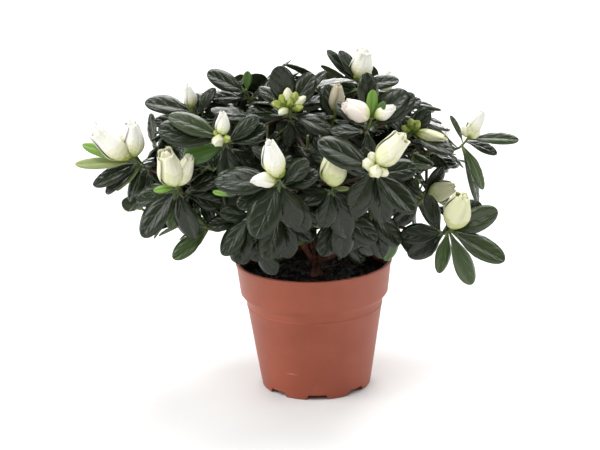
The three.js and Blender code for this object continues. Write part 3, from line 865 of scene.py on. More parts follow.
leadShoots = [
    {"turn": -8, "lift": 58, "reach": 98,
     "buds": [("egg", 10.6, 0.4, 13, 3.2, "green"), ("egg", 11.8, 0.3, 16, 3.7, "cream"),
              ("egg", 1, 0.4, 14, 3.4, "green"), ("egg", 2.2, 0.3, 15, 3.3, "cream"),
              ("egg", 9.2, 0.3, 14, 3.3, "green"), ("egg", 3.4, 0.5, 11, 3, "green"),
              ("egg", 7.6, 0.6, 11, 3, "cream"), ("egg", 12.3, 0.8, 10, 3, "green")],
     "leaves": [(11.5, 34), (10.4, 29), (1, 34), (3.9, 37), (9.2, 33), (6.2, 22), (2.6, 30), (5, 24)]},
    {"turn": -40, "lift": 37, "reach": 109, "facing": 0.8,
     "buds": [("furled", 12.2, 0.3, 20, 5.2, "white"), ("egg", 7.3, 0.8, 12, 4.4, "cream"),
              ("egg", 4, 0.8, 9, 3.2, "green"), ("egg", 10.2, 0.5, 9, 2.8, "green")],
     "leaves": [(9.9, 44, "leafDark", 0.74), (9.3, 49), (5.7, 34), (2.6, 33), (2, 32), (8.2, 34, "leafGreen"),
                (11.5, 26), (12.4, 13, "leafGreen"), (4.2, 30)]},
    {"turn": -56, "lift": 14, "reach": 114, "facing": 1,
     "buds": [("open", 11.7, 0.3, 31, 9.4, "ivory"), ("furled", 1.1, 0.1, 27, 6.6, "ivory")],
     "leaves": [(7.1, 45), (5.5, 40), (7.7, 36), (6.3, 30, "leafMid", 0.8), (8.6, 17, "leafYoung"),
                (10, 27, "leafYoung", 0.8), (2.1, 30), (3.6, 28), (1.2, 24, "leafGreen")]},
    {"turn": -81, "lift": 17, "reach": 132,
     "buds": [("open", 10.3, 0.1, 38, 10.2, "white"), ("furled", 12.2, 0.1, 28, 8.6, "white")],
     "leaves": [(9.6, 42, "leafYoung", 0.85), (8.8, 47, "leafOlive", 0.72), (8.2, 40), (7.7, 36), (6.6, 30),
                (7.2, 28, "leafOlive", 0.8), (10.4, 34, "leafGreen", 0.5), (5.6, 34), (4.5, 30)]},
    {"turn": -9, "lift": 23, "reach": 110,
     "buds": [("furled", 11.5, 0.2, 31, 7.8, "white"), ("furled", 8.7, 0.3, 19, 5.4, "white"),
              ("egg", 0.4, 0.3, 12, 3.3, "green")],
     "leaves": [(6.7, 45), (5.4, 38), (8.7, 47), (5.9, 40), (8.1, 35), (1.7, 29), (2.4, 30), (10.5, 26),
                (4.4, 30)]},
    {"turn": -58, "lift": -6, "reach": 85,
     "leaves": [(7.4, 35, "leafMid"), (9.3, 30), (10.7, 28, "leafMid"), (2.4, 26), (12, 24)]},
    {"turn": -83, "lift": 42, "reach": 108, "facing": 0.9,
     "buds": [("furled", 11.7, 0.1, 19, 4.8, "white")],
     "leaves": [(9.4, 38), (10.2, 22, "leafMid"), (1.2, 26), (8.6, 34), (4, 30), (11.2, 24)]},
    {"turn": -83, "lift": 65, "reach": 94, "facing": 1.1,
     "leaves": [(9.7, 34), (11, 30), (12.3, 16, "leafGreen"), (9, 30), (2, 30), (5, 30), (1.2, 26)]},
    {"turn": 84, "lift": 63, "reach": 101, "facing": 0.9,
     "buds": [("open", 0.2, 0.1, 24, 8.4, "white"), ("egg", 11, 0.5, 10, 3.2, "green"),
              ("egg", 1.8, 0.4, 12, 3.6, "cream")],
     "leaves": [(10.3, 36), (11.2, 30), (2.7, 32), (8.5, 30), (4.5, 28), (10.9, 13, "leafGreen"),
                (1, 16, "leafMid")]},
    {"turn": 42, "lift": 44, "reach": 108,
     "buds": [("furled", 9.6, 0.3, 24, 7.4, "blush"), ("furled", 2.4, 0, 17, 5.4, "white")],
     "leaves": [(0.1, 23, "leafYoung"), (0.9, 17, "leafYoung"), (12, 38), (1.2, 38), (2, 42), (10.4, 30),
                (5.9, 24), (8.6, 27), (1.6, 16, "leafGreen"), (3.4, 30)]},
    {"turn": 41, "lift": 61, "reach": 82,
     "buds": [("furled", 12.2, 0.1, 22, 5.6, "beige")],
     "leaves": [(8.2, 26), (10, 34), (5, 24), (3, 24), (11.6, 30), (1.4, 26)]},
    {"turn": 30, "lift": 24, "reach": 116,
     "buds": [("open", 1.4, 0.1, 31, 8.4, "ivory"), ("egg", 11.3, 0.2, 13, 3.5, "cream"),
              ("egg", 9.8, 0.5, 12, 4.8, "cream"), ("egg", 6.3, 0.9, 13, 5, "white"),
              ("egg", 4.3, 0.6, 12, 3.5, "cream")],
     "leaves": [(9.7, 47), (7, 33), (5.9, 40), (4.8, 42), (3.8, 34), (6.7, 34), (2.8, 30), (11, 22),
                (8.6, 30)]},
    {"turn": 16, "lift": 19.5, "reach": 87,
     "buds": [("furled", 12.1, 0.1, 28, 9.4, "shaded")],
     "leaves": [(6.5, 30), (5.9, 39), (4.2, 28), (8, 30), (3.3, 13, "leafOlive"), (5.2, 30)]},
    {"turn": 85, "lift": 20, "reach": 135, "facing": 0.4,
     "buds": [("egg", 10.9, 0.3, 10, 3.4, "cream"), ("egg", 12, 0.3, 11, 3.6, "cream"),
              ("egg", 1, 0.3, 11, 3.6, "cream"), ("egg", 2.1, 0.4, 10, 3.2, "cream"),
              ("furled", 0.8, 0.1, 21, 4.6, "white")],
     "leaves": [(3.05, 40, "leafDark", 0.6), (3.9, 27), (11.1, 24, "leafDark", 0.7),
                (5.75, 48, "leafDark", 0.85), (5.3, 40, "leafMid", 0.8), (9.7, 38, "leafDeep", 0.65),
                (9.2, 36, "leafDeep", 0.6), (4.7, 44, "leafDark", 0.85), (11.7, 13, "leafGreen"),
                (0.2, 12, "leafGreen")]},
    {"turn": 66.5, "lift": -7, "reach": 122, "facing": 1.1,
     "buds": [("furled", 12.3, 0.2, 31, 10, "pale")],
     "leaves": [(4.25, 46, "leafDark", 0.8), (5.5, 44, "leafSage", 0.8), (6.6, 32, "leafMid", 0.85),
                (3.1, 42, "leafDark", 0.85), (8.9, 34), (1.7, 38), (10.9, 34, "leafDeep", 0.8), (7.9, 32),
                (9.8, 30)]},
    {"turn": 89, "lift": -1, "reach": 95,
     "buds": [("furled", 2.4, 0.1, 22, 7.4, "pale")],
     "leaves": [(1, 28), (10.2, 32), (7.5, 30), (11.6, 28), (5.2, 28), (6.4, 30), (8.8, 30), (3.6, 24)]},
    {"turn": 79, "lift": 32, "reach": 101,
     "buds": [("egg", 11.5, 0.2, 10, 3.2, "green"), ("egg", 1, 0.3, 10, 3.2, "green"),
              ("egg", 9.5, 0.3, 9, 3, "green"), ("furled", 3.8, 0, 24, 4.6, "pale")],
     "leaves": [(3.9, 36), (10, 28), (1.2, 28), (7, 30), (5.4, 30), (8.5, 28), (11.5, 26)]},
    {"turn": 67, "lift": -13, "reach": 80,
     "leaves": [(6.6, 27, "leafGreen"), (7.2, 17, "leafGreen"), (5.4, 33), (3.4, 24), (4.2, 26)]},
    {"turn": -14, "lift": 8, "reach": 70, "leaves": [(6.5, 38), (5.7, 37), (7.3, 34), (4.8, 30), (8.6, 26)]},
    {"turn": 24, "lift": 6, "reach": 72, "leaves": [(6, 36), (5.3, 36), (6.8, 34), (4.5, 28), (3.4, 26)]},
    {"turn": 45, "lift": 2, "reach": 74,
     "leaves": [(6.2, 37), (5.3, 35), (7, 32), (4.2, 32), (3.3, 28), (8.2, 26)]},
    {"turn": -40, "lift": 1, "reach": 72, "leaves": [(6, 36), (5.1, 32), (8.6, 26), (4, 26)]},
    {"turn": -32, "lift": 4, "reach": 74, "leaves": [(6.4, 37), (7.1, 36), (5.7, 34), (8, 28), (9.4, 26)]},
]
sprout = {
    "on": "low_left",
    "at": 0.3,
    "facing": 0.5,
    "seed": 77,
    "leaves": [(11.2, 12, "leafYoung"), (1, 10, "leafYoung"), (9.6, 9, "leafYoung")],
}


def domeReach(direction):
    vertical = domeRadii["up"] if direction.z > 0 else domeRadii["down"]
    x, y, z = direction
    return 1 / math.sqrt((x / domeRadii["across"]) ** 2 + (y / domeRadii["deep"]) ** 2 + (z / vertical) ** 2)


# How far out a filling shoot ends, as shares of the dome's reach, and whether it shows from in front
def fillingReach(turn, lift):
    form = shootForm
    if abs(turn) >= form["seenTurn"] or lift >= form["seenLift"]:
        return form["farReach"], False
    return form["highReach" if lift > form["highFrom"] else "seenReach"], True


# Each spray has its own dark green, and shoots set deep in the crown are held to the darkest greens as
# painted shade
sprayTones = ((0.3, "leafDeep"), (0.6, "leafDark"), (0.86, "leafSage"), (1.1, "leafMid"))


def sprayTone(share):
    return next(tone for bound, tone in sprayTones if share < bound)


# The leads, then the spots of a golden spiral over the dome that keep their distance from all before them
def spreadShoots():
    form = shootForm
    draw = seededNumbers(form["seed"])
    shoots = []
    for lead in leadShoots:
        shoots.append(dict(lead, tip=heart + directionOf(lead["turn"], lead["lift"]) * lead["reach"]))
    for i in range(form["spiral"]):
        height = form["highest"] - (form["highest"] - form["lowest"]) * i / form["spiral"]
        turn = (i * form["goldenTurn"] + 180) % 360 - 180 + form["turnVaries"] * (draw() - 0.5)
        lift = math.degrees(math.asin(height)) + form["liftVaries"] * (draw() - 0.5)
        direction = directionOf(turn, lift)
        span, seen = fillingReach(turn, lift)
        tip = heart + direction * domeReach(direction) * between(span, draw())
        bears = draw()
        if abs(turn) < form["budsFrom"] or lift > form["budsUnder"]:
            bears = 1
        lowInFront = abs(turn) < form["openTurn"] and lift < form["openLift"]
        if not lowInFront and all((shoot["tip"] - tip).length >= form["spacing"] for shoot in shoots):
            shoots.append({"tip": tip, "bears": bears, "leaves": None, "inner": seen})
    return shoots


# Gives each shoot its axis, its own draws and its tone
def allShoots():
    form = shootForm
    shoots = spreadShoots()
    for index, shoot in enumerate(shoots):
        facing = shoot.get("facing", form["facing"]) if shoot["leaves"] else 0
        away = (shoot["tip"] - heart).normalized()
        shoot["axis"] = (away + upward * form["lean"] + viewerWay * facing).normalized()
        shoot["draw"] = seededNumbers(form["seed"] + form["seedStep"] * (index + 1))
        share = shoot["draw"]()
        # Shoots set deep in the crown, and leads that end near the heart, get the darker greens: painted
        # shade for the hollows
        if shoot.get("inner") or shoot.get("reach", form["innerReach"]) < form["innerReach"]:
            share *= form["innerShadeTones"]
        elif shoot.get("buds"):
            share = form["leadTones"] + (1 - form["leadTones"]) * share
        shoot["tone"] = sprayTone(share)
    return shoots


# A shoot's leaves: the way that each heads, its length, tone and share of the usual width
def leafPlans(shoot):
    plans = []
    if shoot["leaves"]:
        usual = [shoot["tone"], 1]
        for hour, length, *own in shoot["leaves"]:
            tone, width = own + usual[len(own):]
            plans.append((clockWay(hour), length, tone, width))
        return plans
    side = shoot["axis"].cross(upward).normalized()
    other = shoot["axis"].cross(side)
    draw = shoot["draw"]
    first = draw() * 2 * math.pi
    for k in range(shoot.get("count", shootForm["leaves"])):
        angle = first + k * math.radians(shootForm["goldenTurn"])
        size = leafForm["length"] * between(leafForm["lengthVaries"], draw()) * shoot.get("size", 1)
        tone = shoot["tone"] if draw() < shootForm["ownTone"] else sprayTone(draw())
        plans.append((side * math.cos(angle) + other * math.sin(angle), size, tone, 1))
    tip = shootForm["tipLeaf"]
    if draw() < tip["share"]:
        tone = "leafGreen" if draw() < tip["green"] else "leafYoung"
        plans.append((side * math.cos(first) - other * math.sin(first), tip["length"], tone, 1))
    return plans


def spaceOf(point):
    away = point - heart
    return max(spaces, key=lambda space: directionOf(space["turn"], space["lift"]).dot(away))


# What stands so far, so that each new piece is set clear of it
mostStanding = 6000
standing = {
    "low": np.zeros((mostStanding, 3)), "high": np.zeros((mostStanding, 3)), "trees": [], "owners": []
}


def stand(points, faces, owner):
    i = len(standing["trees"])
    standing["low"][i], standing["high"][i] = points.min(0), points.max(0)
    standing["trees"].append(BVHTree.FromPolygons(points.tolist(), faces))
    standing["owners"].append(owner)


def isClear(points, faces, owner):
    count = len(standing["trees"])
    low, high = points.min(0), points.max(0)
    near = np.all((standing["low"][:count] < high) & (standing["high"][:count] > low), axis=1).nonzero()[0]
    near = [i for i in near if standing["owners"][i] is not owner or owner is None]
    if not near:
        return True
    tree = BVHTree.FromPolygons(points.tolist(), faces)
    return not any(tree.overlap(standing["trees"][i]) for i in near)


# Plain tube for the clearance tests
tubeSides = 6


def tubeShell(points, radii):
    spots = []
    for i, point in enumerate(points):
        ahead = (points[min(i + 1, len(points) - 1)] - points[max(i - 1, 0)]).normalized()
        side = ahead.orthogonal().normalized()
        other = ahead.cross(side)
        for k in range(tubeSides):
            angle = 2 * math.pi * k / tubeSides
            spots.append(point + (side * math.cos(angle) + other * math.sin(angle)) * radii[i])
    return np.array(spots), quadFaces(tubeSides, len(points), True)


# Faces of a sheet of points, column by column in each row
def quadFaces(columns, rows, closed=False):
    faces = []
    for r in range(rows - 1):
        low, high = r * columns, (r + 1) * columns
        for c in range(columns if closed else columns - 1):
            after = (c + 1) % columns
            faces.append((low + c, low + after, high + after, high + c))
    return faces


# Where the photo shows sky through the crown, or the foot of the stems: ellipses in mm about the middle of
# the picture, on the plane through the pot's axis. No leaf but a lead's covers one.
openings = [
    {"across": 119, "up": 33, "half": (7, 10)},
    {"across": 98, "up": 38, "half": (4, 4)},
    {"across": 99, "up": 59, "half": (4, 3)},
    {"across": 85, "up": 9, "half": (8, 6)},
    {"across": 75, "up": -9, "half": (8, 6)},
    {"across": -56, "up": -11, "half": (9, 8)},
    {"across": -69, "up": 54, "half": (3, 3)},
    {"across": 10, "up": -25, "half": (17, 11)},
]
skirt = {"height": 103, "from": 60, "slope": 0.42}


# Millimetres across and up in the picture
def seenFromFront(points):
    view = cameraView
    lift = math.radians(view["elevation"])
    roll = math.radians(-view["roll"])
    back = np.array((0, -math.cos(lift), math.sin(lift)))
    offset = points - np.array(view["target"]) - back * view["distance"]
    scale = view["distance"] / -(offset @ back)
    x = offset[:, 0] * scale
    y = offset @ np.array((0, math.sin(lift), math.cos(lift))) * scale
    return x * math.cos(roll) - y * math.sin(roll), x * math.sin(roll) + y * math.cos(roll), offset @ back


# Where the leads' leaves and buds stand in the picture, and how near the viewer
marks = []
markSpan = 5.5


def keepInView(points):
    marks.append(np.column_stack(seenFromFront(points)))


def hidesLead(places, leadPlaces):
    apart = np.hypot(places[:, None, 0] - leadPlaces[None, :, 0], places[:, None, 1] - leadPlaces[None, :, 1])
    return bool(np.any((apart < markSpan) & (places[:, None, 2] > leadPlaces[None, :, 2])))


# A leaf or twig of the filling shoots stays above the skirt of the crown and out of the openings. Those of
# its points that are told as outer hide no leaf or bud of a lead.
def isWelcome(points, outer=()):
    away = np.hypot(points[:, 0], points[:, 1])
    if np.any(points[:, 2] < skirt["height"] + skirt["slope"] * np.maximum(0, away - skirt["from"])):
        return False
    across, up, near = seenFromFront(points)
    if len(outer) and hidesLead(np.column_stack((across, up, near))[outer], leadPlaces):
        return False
    for gap in openings:
        inside = ((across - gap["across"]) / gap["half"][0]) ** 2 + ((up - gap["up"]) / gap["half"][1]) ** 2
        if inside.min() < 1:
            return False
    return True


# Leaf blade: a grid from bmesh, whose points take their place by share along the midrib and share across
def leafGrid():
    form = leafForm
    bm = bmesh.new()
    bmesh.ops.create_grid(bm, x_segments=len(form["columns"]) - 1, y_segments=form["rows"], size=1)
    xs = np.array([vert.co.x for vert in bm.verts])
    ys = np.array([vert.co.y for vert in bm.verts])
    columns = np.rint((xs + 1) / 2 * (len(form["columns"]) - 1)).astype(int)
    rows = np.rint((ys + 1) / 2 * form["rows"]).astype(int)
    faces = [[vert.index for vert in face.verts] for face in bm.faces]
    isStalk = np.array([min(rows[i] for i in face) < 1 for face in faces])
    bm.free()
    inner = np.nonzero((columns == len(form["columns"]) // 2) & (rows % 3 == 0) & (rows > 0))[0]
    outer = np.nonzero((columns % 3 == 0) & (rows % 2 == 0) & (rows > 1))[0]
    return {
        "columns": columns, "rows": rows, "faces": faces, "isStalk": isStalk, "inner": inner, "outer": outer
    }


grid = leafGrid()


# The blade's points: outline, side veins that run forward to the edge, quilting between them, bend and
# twist
def leafPoints(base, ahead, above, length, shape):
    form = leafForm
    across = np.array(form["columns"])[grid["columns"]]
    reach = np.abs(across)
    row = grid["rows"] / form["rows"]
    share = 1 - (1 - row) ** form["crowding"]
    share = share + form["sweep"] * reach * np.sin(math.pi * share)
    widest = shape["widest"]
    foot = np.sin(np.clip(share / widest, 0, 1) * math.pi / 2) ** form["footPower"]
    past = np.clip((share - widest) / (1 - widest), 0, 1)
    end = np.sqrt(np.clip(1 - past ** form["endPower"], 0, 1))
    body = np.where(share < widest, foot, end)
    least = form["petiole"] * np.where(share < 0.5, 1, form["tipShare"])
    half = np.maximum(length * shape["width"] / 2 * body, least)
    stops = form["columns"][len(form["columns"]) // 2:]
    vein = np.where(grid["rows"] % 2 == 0, -1.0, 1.0)
    lift = np.interp(reach, stops, form["quilt"]) + np.interp(reach, stops, form["veins"]) * vein
    lift = lift * body * length / form["fullSize"] * shape["relief"]
    ripple = np.sin(2 * math.pi * (form["waves"] * share + shape["phase"]))
    lift = lift + length * shape["wave"] * reach ** 2 * ripple * body
    lift = lift + half * reach * shape["fold"]
    turn = shape["twist"] * share
    x = half * across * np.cos(turn) - lift * np.sin(turn)
    z = half * across * np.sin(turn) + lift * np.cos(turn)
    bend = max(shape["bend"], 1e-3)
    angle = bend * share
    radius = length / bend
    front = np.sin(angle) * (radius + z)
    height = (np.cos(angle) - 1) * radius + np.cos(angle) * z
    side = ahead.cross(above)
    start = base - ahead * form["sunk"]
    return np.array(start) + np.outer(front, ahead) + np.outer(height, above) + np.outer(x, side)


# Draws how one blade differs from the next
def bladeShape(draw, size, tone, width):
    form = leafForm
    shape = {
        "widest": between(form["widest"], draw()),
        "width": form["width"] * between(form["widthVaries"], draw()) * width,
        "bend": form["droop"] * between(form["droopVaries"], draw()),
        "twist": form["twist"] * (draw() - 0.5),
        "fold": form["crease"] * (draw() - form["creaseFrom"]),
        "wave": form["wave"] * draw(),
        "phase": draw(),
        "relief": between(form["relief"], draw()),
    }
    if tone in form["young"]:
        shape["width"] *= form["youngWidth"]
        shape["bend"] *= form["youngBend"]
    if size < form["smallSize"]:
        shape["bend"] *= form["smallBend"]
    return shape


leaves = []


# Tries a leaf at its place, then turned, slid down the shoot, folded up or smaller, until it stands clear
def growLeaf(shoot, base, plan, isLead):
    form = leafForm
    heading, size, tone, width = plan
    shape = bladeShape(shoot["draw"], size, tone, width)
    tries = list(product(form["shares"], form["folds"], form["shifts"], form["turns"]))
    for share, fold, shift, turn in tries if isLead else tries[::form["fillerStep"]]:
        way = Quaternion(shoot["axis"], math.radians(turn)) @ heading * fold
        ahead = (way + shoot["axis"] * (form["rise"] + 1 - fold)).normalized()
        above = (shoot["axis"] - ahead * shoot["axis"].dot(ahead)).normalized()
        start = base - shoot["axis"] * shift
        length = size * share * between(form["foldedLength"], fold)
        points = leafPoints(start, ahead, above, length, shape)
        if points[:, 1].min() < form["nearest"] or not (isLead or isWelcome(points, grid["outer"])):
            continue
        if isClear(points, grid["faces"], shoot["owner"]):
            stand(points, grid["faces"], None)
            if isLead:
                keepInView(points[grid["inner"]])
            leaves.append({"points": points, "tone": tone, "place": spaceOf(shoot["tip"])["place"]})
            shoot["grown"] = shoot.get("grown", 0) + 1
            return


shoots = allShoots()
sticks = []
for place, curve in limbs.items():
    steps = limbForm["clearSteps"]
    radius = limbForm["clearRadii"]["trunk" if place == "trunk" else "bough"]
    points = [curvePoint(curve, i / steps) for i in range(steps + 1)]
    stand(*tubeShell(points, [radius] * len(points)), place)


# Each space's bough ends in a stem, off which the first twig forks
forks = {}
for space in spaces:
    bough = limbs[space["place"]]
    tangent = curveTangent(bough, 1)
    stemEnd = bough[-1] + tangent * (shootForm["stem"] + shootForm["stemGap"])
    root = bough[-1] - tangent * shootForm["stemSunk"]
    sticks.append(([root, bough[-1], stemEnd], [limbForm["tipRadius"]] * 3, "shootBrown"))
    forks[space["place"]] = [stemEnd - tangent]


# A shoot forks off the nearest twig of its space. A filling one bends round what stands, or isn't grown.
def growTwig(shoot):
    form = shootForm
    own = forks[spaceOf(shoot["tip"])["place"]]
    fork = min(own, key=lambda point: (point - shoot["tip"]).length)
    neck = shoot["tip"] - shoot["axis"] * form["upturn"]
    side = (neck - fork).cross(upward).normalized()
    steps, skip = form["twigSteps"], form["footRings"] * tubeSides
    thick, thin = form["twigRadii"]
    radii = [thick - thin * i / steps for i in range(steps + 1)]
    for sway in form["sways"]:
        middle = fork.lerp(neck, form["bendAt"]) + side * sway
        route = [fork, middle, neck, shoot["tip"]]
        points = [curvePoint(route, i / steps) for i in range(steps + 1)]
        shell, faces = tubeShell(points, radii)
        if shoot["leaves"] or isClear(shell[skip:], faces[:-skip], None):
            own.append(middle)
            shoot.update({"route": route, "owner": shoot["tip"], "twig": (points, radii)})
            stand(shell, faces, shoot["owner"])
            return


# A thin twig low on the trunk, towards the right
lowTwig = {
    "route": [Vector((3, -9, 94)), Vector((20, -16, 100)), Vector((32, -14, 109)), Vector((42, -8, 114))],
    "steps": 10,
    "radius": 1.0,
    "taper": 0.04,
    "clearance": 1.2,
}


def growLowTwig():
    form = lowTwig
    points = [curvePoint(form["route"], i / form["steps"]) for i in range(form["steps"] + 1)]
    sticks.append((points, [form["radius"] - form["taper"] * i for i in range(len(points))], "shootBrown"))
    stand(*tubeShell(points, [form["clearance"]] * len(points)), "lowTwig")


growLowTwig()


# Buds. A furled one is petals wound over each other, an open one is looser and flares, an egg is scales
budForm = {
    "furled": {"mouth": 0.42, "flare": 0.0, "twist": 0.9},
    "open": {"mouth": 0.5, "flare": 0.16, "twist": 0.7},
    "petals": 5,
    "outer": 3,
    "belly": 0.42,
    "petalColumns": 11,
    "petalRows": 17,
    "eggSides": 10,
    "eggRows": 8,
    "phases": 6.28,
    "axisShare": 0.25,
    "root": 2,
    "stalk": 2.5,
    "stalkSunk": 1,
    "stalkRadii": (1.0, 1.5),
    "eggStalk": 1.5,
    "shell": ((0.12, 0.3), (0.35, 1), (0.7, 1), (1, 0.6)),
    "marksEvery": 5,
    "lift": 0.9,
    "thickness": 0.3,
}
petalForm = {
    "twistVaries": (0.7, 0.6),
    "mouthVaries": (0.85, 0.3),
    "swell": (0.2, 0.8),
    "swellPower": 0.8,
    "taperPower": 1.7,
    "outer": {"mouth": 1, "span": 82, "radius": 1, "flare": 1},
    "inner": {"mouth": 0.3, "span": 112, "radius": 0.84, "flare": 0},
    "overlap": 0.12,
    "flareFrom": 0.7,
    "ruffle": (0.13, 4.5),
    "innerLength": 1.02,
    "outerLength": (0.9, 0.1),
    "cornerDip": 0.06,
    "tipWave": (0.022, 5),
}
eggForm = {"swell": (0.2, 0.8), "belly": 0.85, "power": 0.75, "end": 0.99, "twist": 1.3, "ridges": 0.12}
borneBuds = {
    "kinds": ("big", "slim", "cluster"),
    "tones": ("white", "cream", "white", "cream", "blush"),
    "beside": 2.4,
    "openShare": 0.5,
    "big": {"lean": 0.15, "length": (25, 6), "radius": (6.5, 2), "egg": (0.9, 11, 3.5, "cream")},
    "slim": {"lean": 0.1, "length": (18, 5), "radius": (4.8, 1), "egg": (0.8, 10, 3.2, "green")},
    "cluster": {"count": 4, "lean": 0.6, "length": (11, 3), "radius": 3.6},
}
bigBuds = []
smallBuds = []


# What a shoot bears: the form of each bud, the way it faces, its length, radius and tone
def budPlans(shoot):
    plans = []
    if shoot["leaves"]:
        for kind, hour, toward, length, radius, tone in shoot.get("buds", ()):
            way = clockWay(hour) * math.sqrt(1 - toward ** 2) + viewerWay * toward
            way = (way + shoot["axis"] * budForm["axisShare"]).normalized()
            plans.append((kind, way, length, radius, tone))
        return plans
    if shoot["bears"] > shootForm["budShare"]:
        return []
    side = shoot["axis"].cross(upward).normalized()
    other = shoot["axis"].cross(side)
    upright = (shoot["axis"] + upward * budForm["lift"]).normalized()
    draw = shoot["draw"]
    start = draw() * 2 * math.pi
    tone = borneBuds["tones"][int(draw() * len(borneBuds["tones"]))]

    def leaning(angle, lean):
        return (upright + side * (lean * math.cos(angle)) + other * (lean * math.sin(angle))).normalized()

    kinds = borneBuds["kinds"]
    kind = kinds[min(int(len(kinds) * shoot["bears"] / shootForm["budShare"]), len(kinds) - 1)]
    own = borneBuds[kind]
    if kind == "cluster":
        for k in range(own["count"]):
            way = leaning(start + k * 2 * math.pi / own["count"], own["lean"])
            length = between(own["length"], draw())
            plans.append(("egg", way, length, own["radius"], "cream" if k % 2 else "green"))
        return plans
    form = "open" if kind == "big" and draw() < borneBuds["openShare"] else "furled"
    length = between(own["length"], draw())
    radius = between(own["radius"], draw())
    plans.append((form, leaning(start, own["lean"]), length, radius, tone))
    lean, length, radius, tone = own["egg"]
    plans.append(("egg", leaning(start + borneBuds["beside"], lean), length, radius, tone))
    return plans


def petalSheets(kind, foot, axis, length, radius, draw):
    bud, form = budForm, petalForm
    side = axis.orthogonal().normalized()
    other = axis.cross(side)
    u = np.linspace(-1, 1, bud["petalColumns"])[None, :]
    v = np.linspace(0, 1, bud["petalRows"])[:, None]
    start = 2 * math.pi * draw()
    twist = bud[kind]["twist"] * between(form["twistVaries"], draw())
    mouth = bud[kind]["mouth"] * between(form["mouthVaries"], draw())
    sheets = []
    for k in range(bud["petals"]):
        inner = k >= bud["outer"]
        count = bud["petals"] - bud["outer"] if inner else bud["outer"]
        petal = form["inner" if inner else "outer"]
        phase = bud["phases"] * draw()
        full = np.sin(np.clip(v / bud["belly"], 0, 1) * math.pi / 2) ** form["swellPower"]
        above = np.clip((v - bud["belly"]) / (1 - bud["belly"]), 0, 1) ** form["taperPower"]
        taper = 1 - (1 - mouth * petal["mouth"]) * above
        angle = start + k * 2 * math.pi / count + twist * v + u * math.radians(petal["span"])
        out = radius * between(form["swell"], full) * taper * petal["radius"] * (1 + form["overlap"] * u)
        wide = np.clip((v - form["flareFrom"]) / (1 - form["flareFrom"]), 0, 1) ** 2
        out = out + radius * bud[kind]["flare"] * petal["flare"] * wide
        depth, waves = form["ruffle"]
        out = out + radius * depth * np.sin(waves * u + phase) * v ** 3
        tall = length * (form["innerLength"] if inner else between(form["outerLength"], draw()))
        height = tall * (v - form["cornerDip"] * np.abs(u) ** 3 * v ** 3)
        depth, waves = form["tipWave"]
        height = height + depth * length * np.sin(waves * u + phase) * v ** 5
        spots = (
            np.array(foot)
            + (out * np.cos(angle))[..., None] * np.array(side)
            + (out * np.sin(angle))[..., None] * np.array(other)
            + height[..., None] * np.array(axis)
        )
        sheets.append(spots.reshape(-1, 3))
    return sheets


def eggPoints(foot, axis, length, radius, draw):
    sides, rows, form = budForm["eggSides"], budForm["eggRows"], eggForm
    side = axis.orthogonal().normalized()
    other = axis.cross(side)
    v = np.linspace(0, 1, rows)[:, None]
    turns = np.arange(sides)[None, :] * 2 * math.pi / sides
    full = np.sin(math.pi * v ** form["belly"]) ** form["power"]
    out = radius * between(form["swell"], full) * (v < form["end"])
    angle = turns + form["twist"] * v + budForm["phases"] * draw()
    out = out * (1 + form["ridges"] * np.where(np.arange(sides) % 2 == 0, 1, -1)[None, :])
    spots = (
        np.array(foot)
        + (out * np.cos(angle))[..., None] * np.array(side)
        + (out * np.sin(angle))[..., None] * np.array(other)
        + (length * v + 0 * turns)[..., None] * np.array(axis)
    )
    return spots.reshape(-1, 3)


def growBuds(shoot):
    form = budForm
    foot = shoot["tip"] - shoot["axis"] * form["root"]
    for kind, axis, length, radius, tone in budPlans(shoot):
        if kind == "egg":
            spots = eggPoints(foot + axis * form["eggStalk"], axis, length, radius, shoot["draw"])
            faces = quadFaces(form["eggSides"], form["eggRows"], True)
            if shoot["leaves"] or isClear(spots, faces, shoot["owner"]):
                stand(spots, faces, shoot["owner"])
                smallBuds.append({"points": spots, "tone": tone})
                if shoot["leaves"]:
                    keepInView(spots[::form["marksEvery"]])
            continue
        sheets = petalSheets(kind, foot + axis * form["stalk"], axis, length, radius, shoot["draw"])
        stops = form["shell"]
        shell, faces = tubeShell([foot + axis * length * s for s, r in stops], [radius * r for s, r in stops])
        if not shoot["leaves"] and not isClear(shell, faces, shoot["owner"]):
            continue
        stand(shell, faces, shoot["owner"])
        if shoot["leaves"]:
            keepInView(shell)
        top = foot + axis * (form["stalk"] + form["stalkSunk"])
        sticks.append(([foot, top], form["stalkRadii"], "shootGreen"))
        bigBuds.append({"sheets": sheets, "tone": tone})


def growGroup(group):
    for space in spaces:
        own = [shoot for shoot in group if spaceOf(shoot["tip"]) is space]
        for shoot in sorted(own, key=lambda shoot: (shoot["tip"] - forks[space["place"]][0]).length):
            growTwig(shoot)
    grown = [shoot for shoot in group if "twig" in shoot]
    for shoot in grown:
        growBuds(shoot)
    for shoot in grown:
        for k, plan in enumerate(leafPlans(shoot)):
            back = leafForm["start"] + leafForm["spacing"] * min(k, leafForm["mostApart"])
            if plan[1] < leafForm["smallSize"]:
                back = leafForm["smallStart"]
            growLeaf(shoot, shoot["tip"] - shoot["axis"] * back, plan, shoot["leaves"] is not None)
    grown = [shoot for shoot in grown if shoot.get("grown", 0) > 1 or shoot.get("buds")]
    for shoot in grown:
        points, radii = shoot["twig"]
        green = shootForm["greenFrom"]
        sticks.append((points[:green + 1], radii[:green + 1], "shootBrown"))
        sticks.append((points[green:], radii[green:], "shootGreen"))
    return grown


# The shoots that the photo shows grow first, the ones that fill the dome between them after
leads = [shoot for shoot in shoots if shoot["leaves"]]
fillers = [shoot for shoot in shoots if not shoot["leaves"]]
shoots = growGroup(leads)
wanted = sum(len(shoot["leaves"]) for shoot in leads)
print("lead shoots done:", len(leaves), "leaves of", wanted, "and", len(fillers), "fillers")
leadPlaces = np.concatenate(marks)
shoots = shoots + growGroup(fillers)
print("main shoots done:", len(shoots), "shoots,", len(leaves), "leaves")

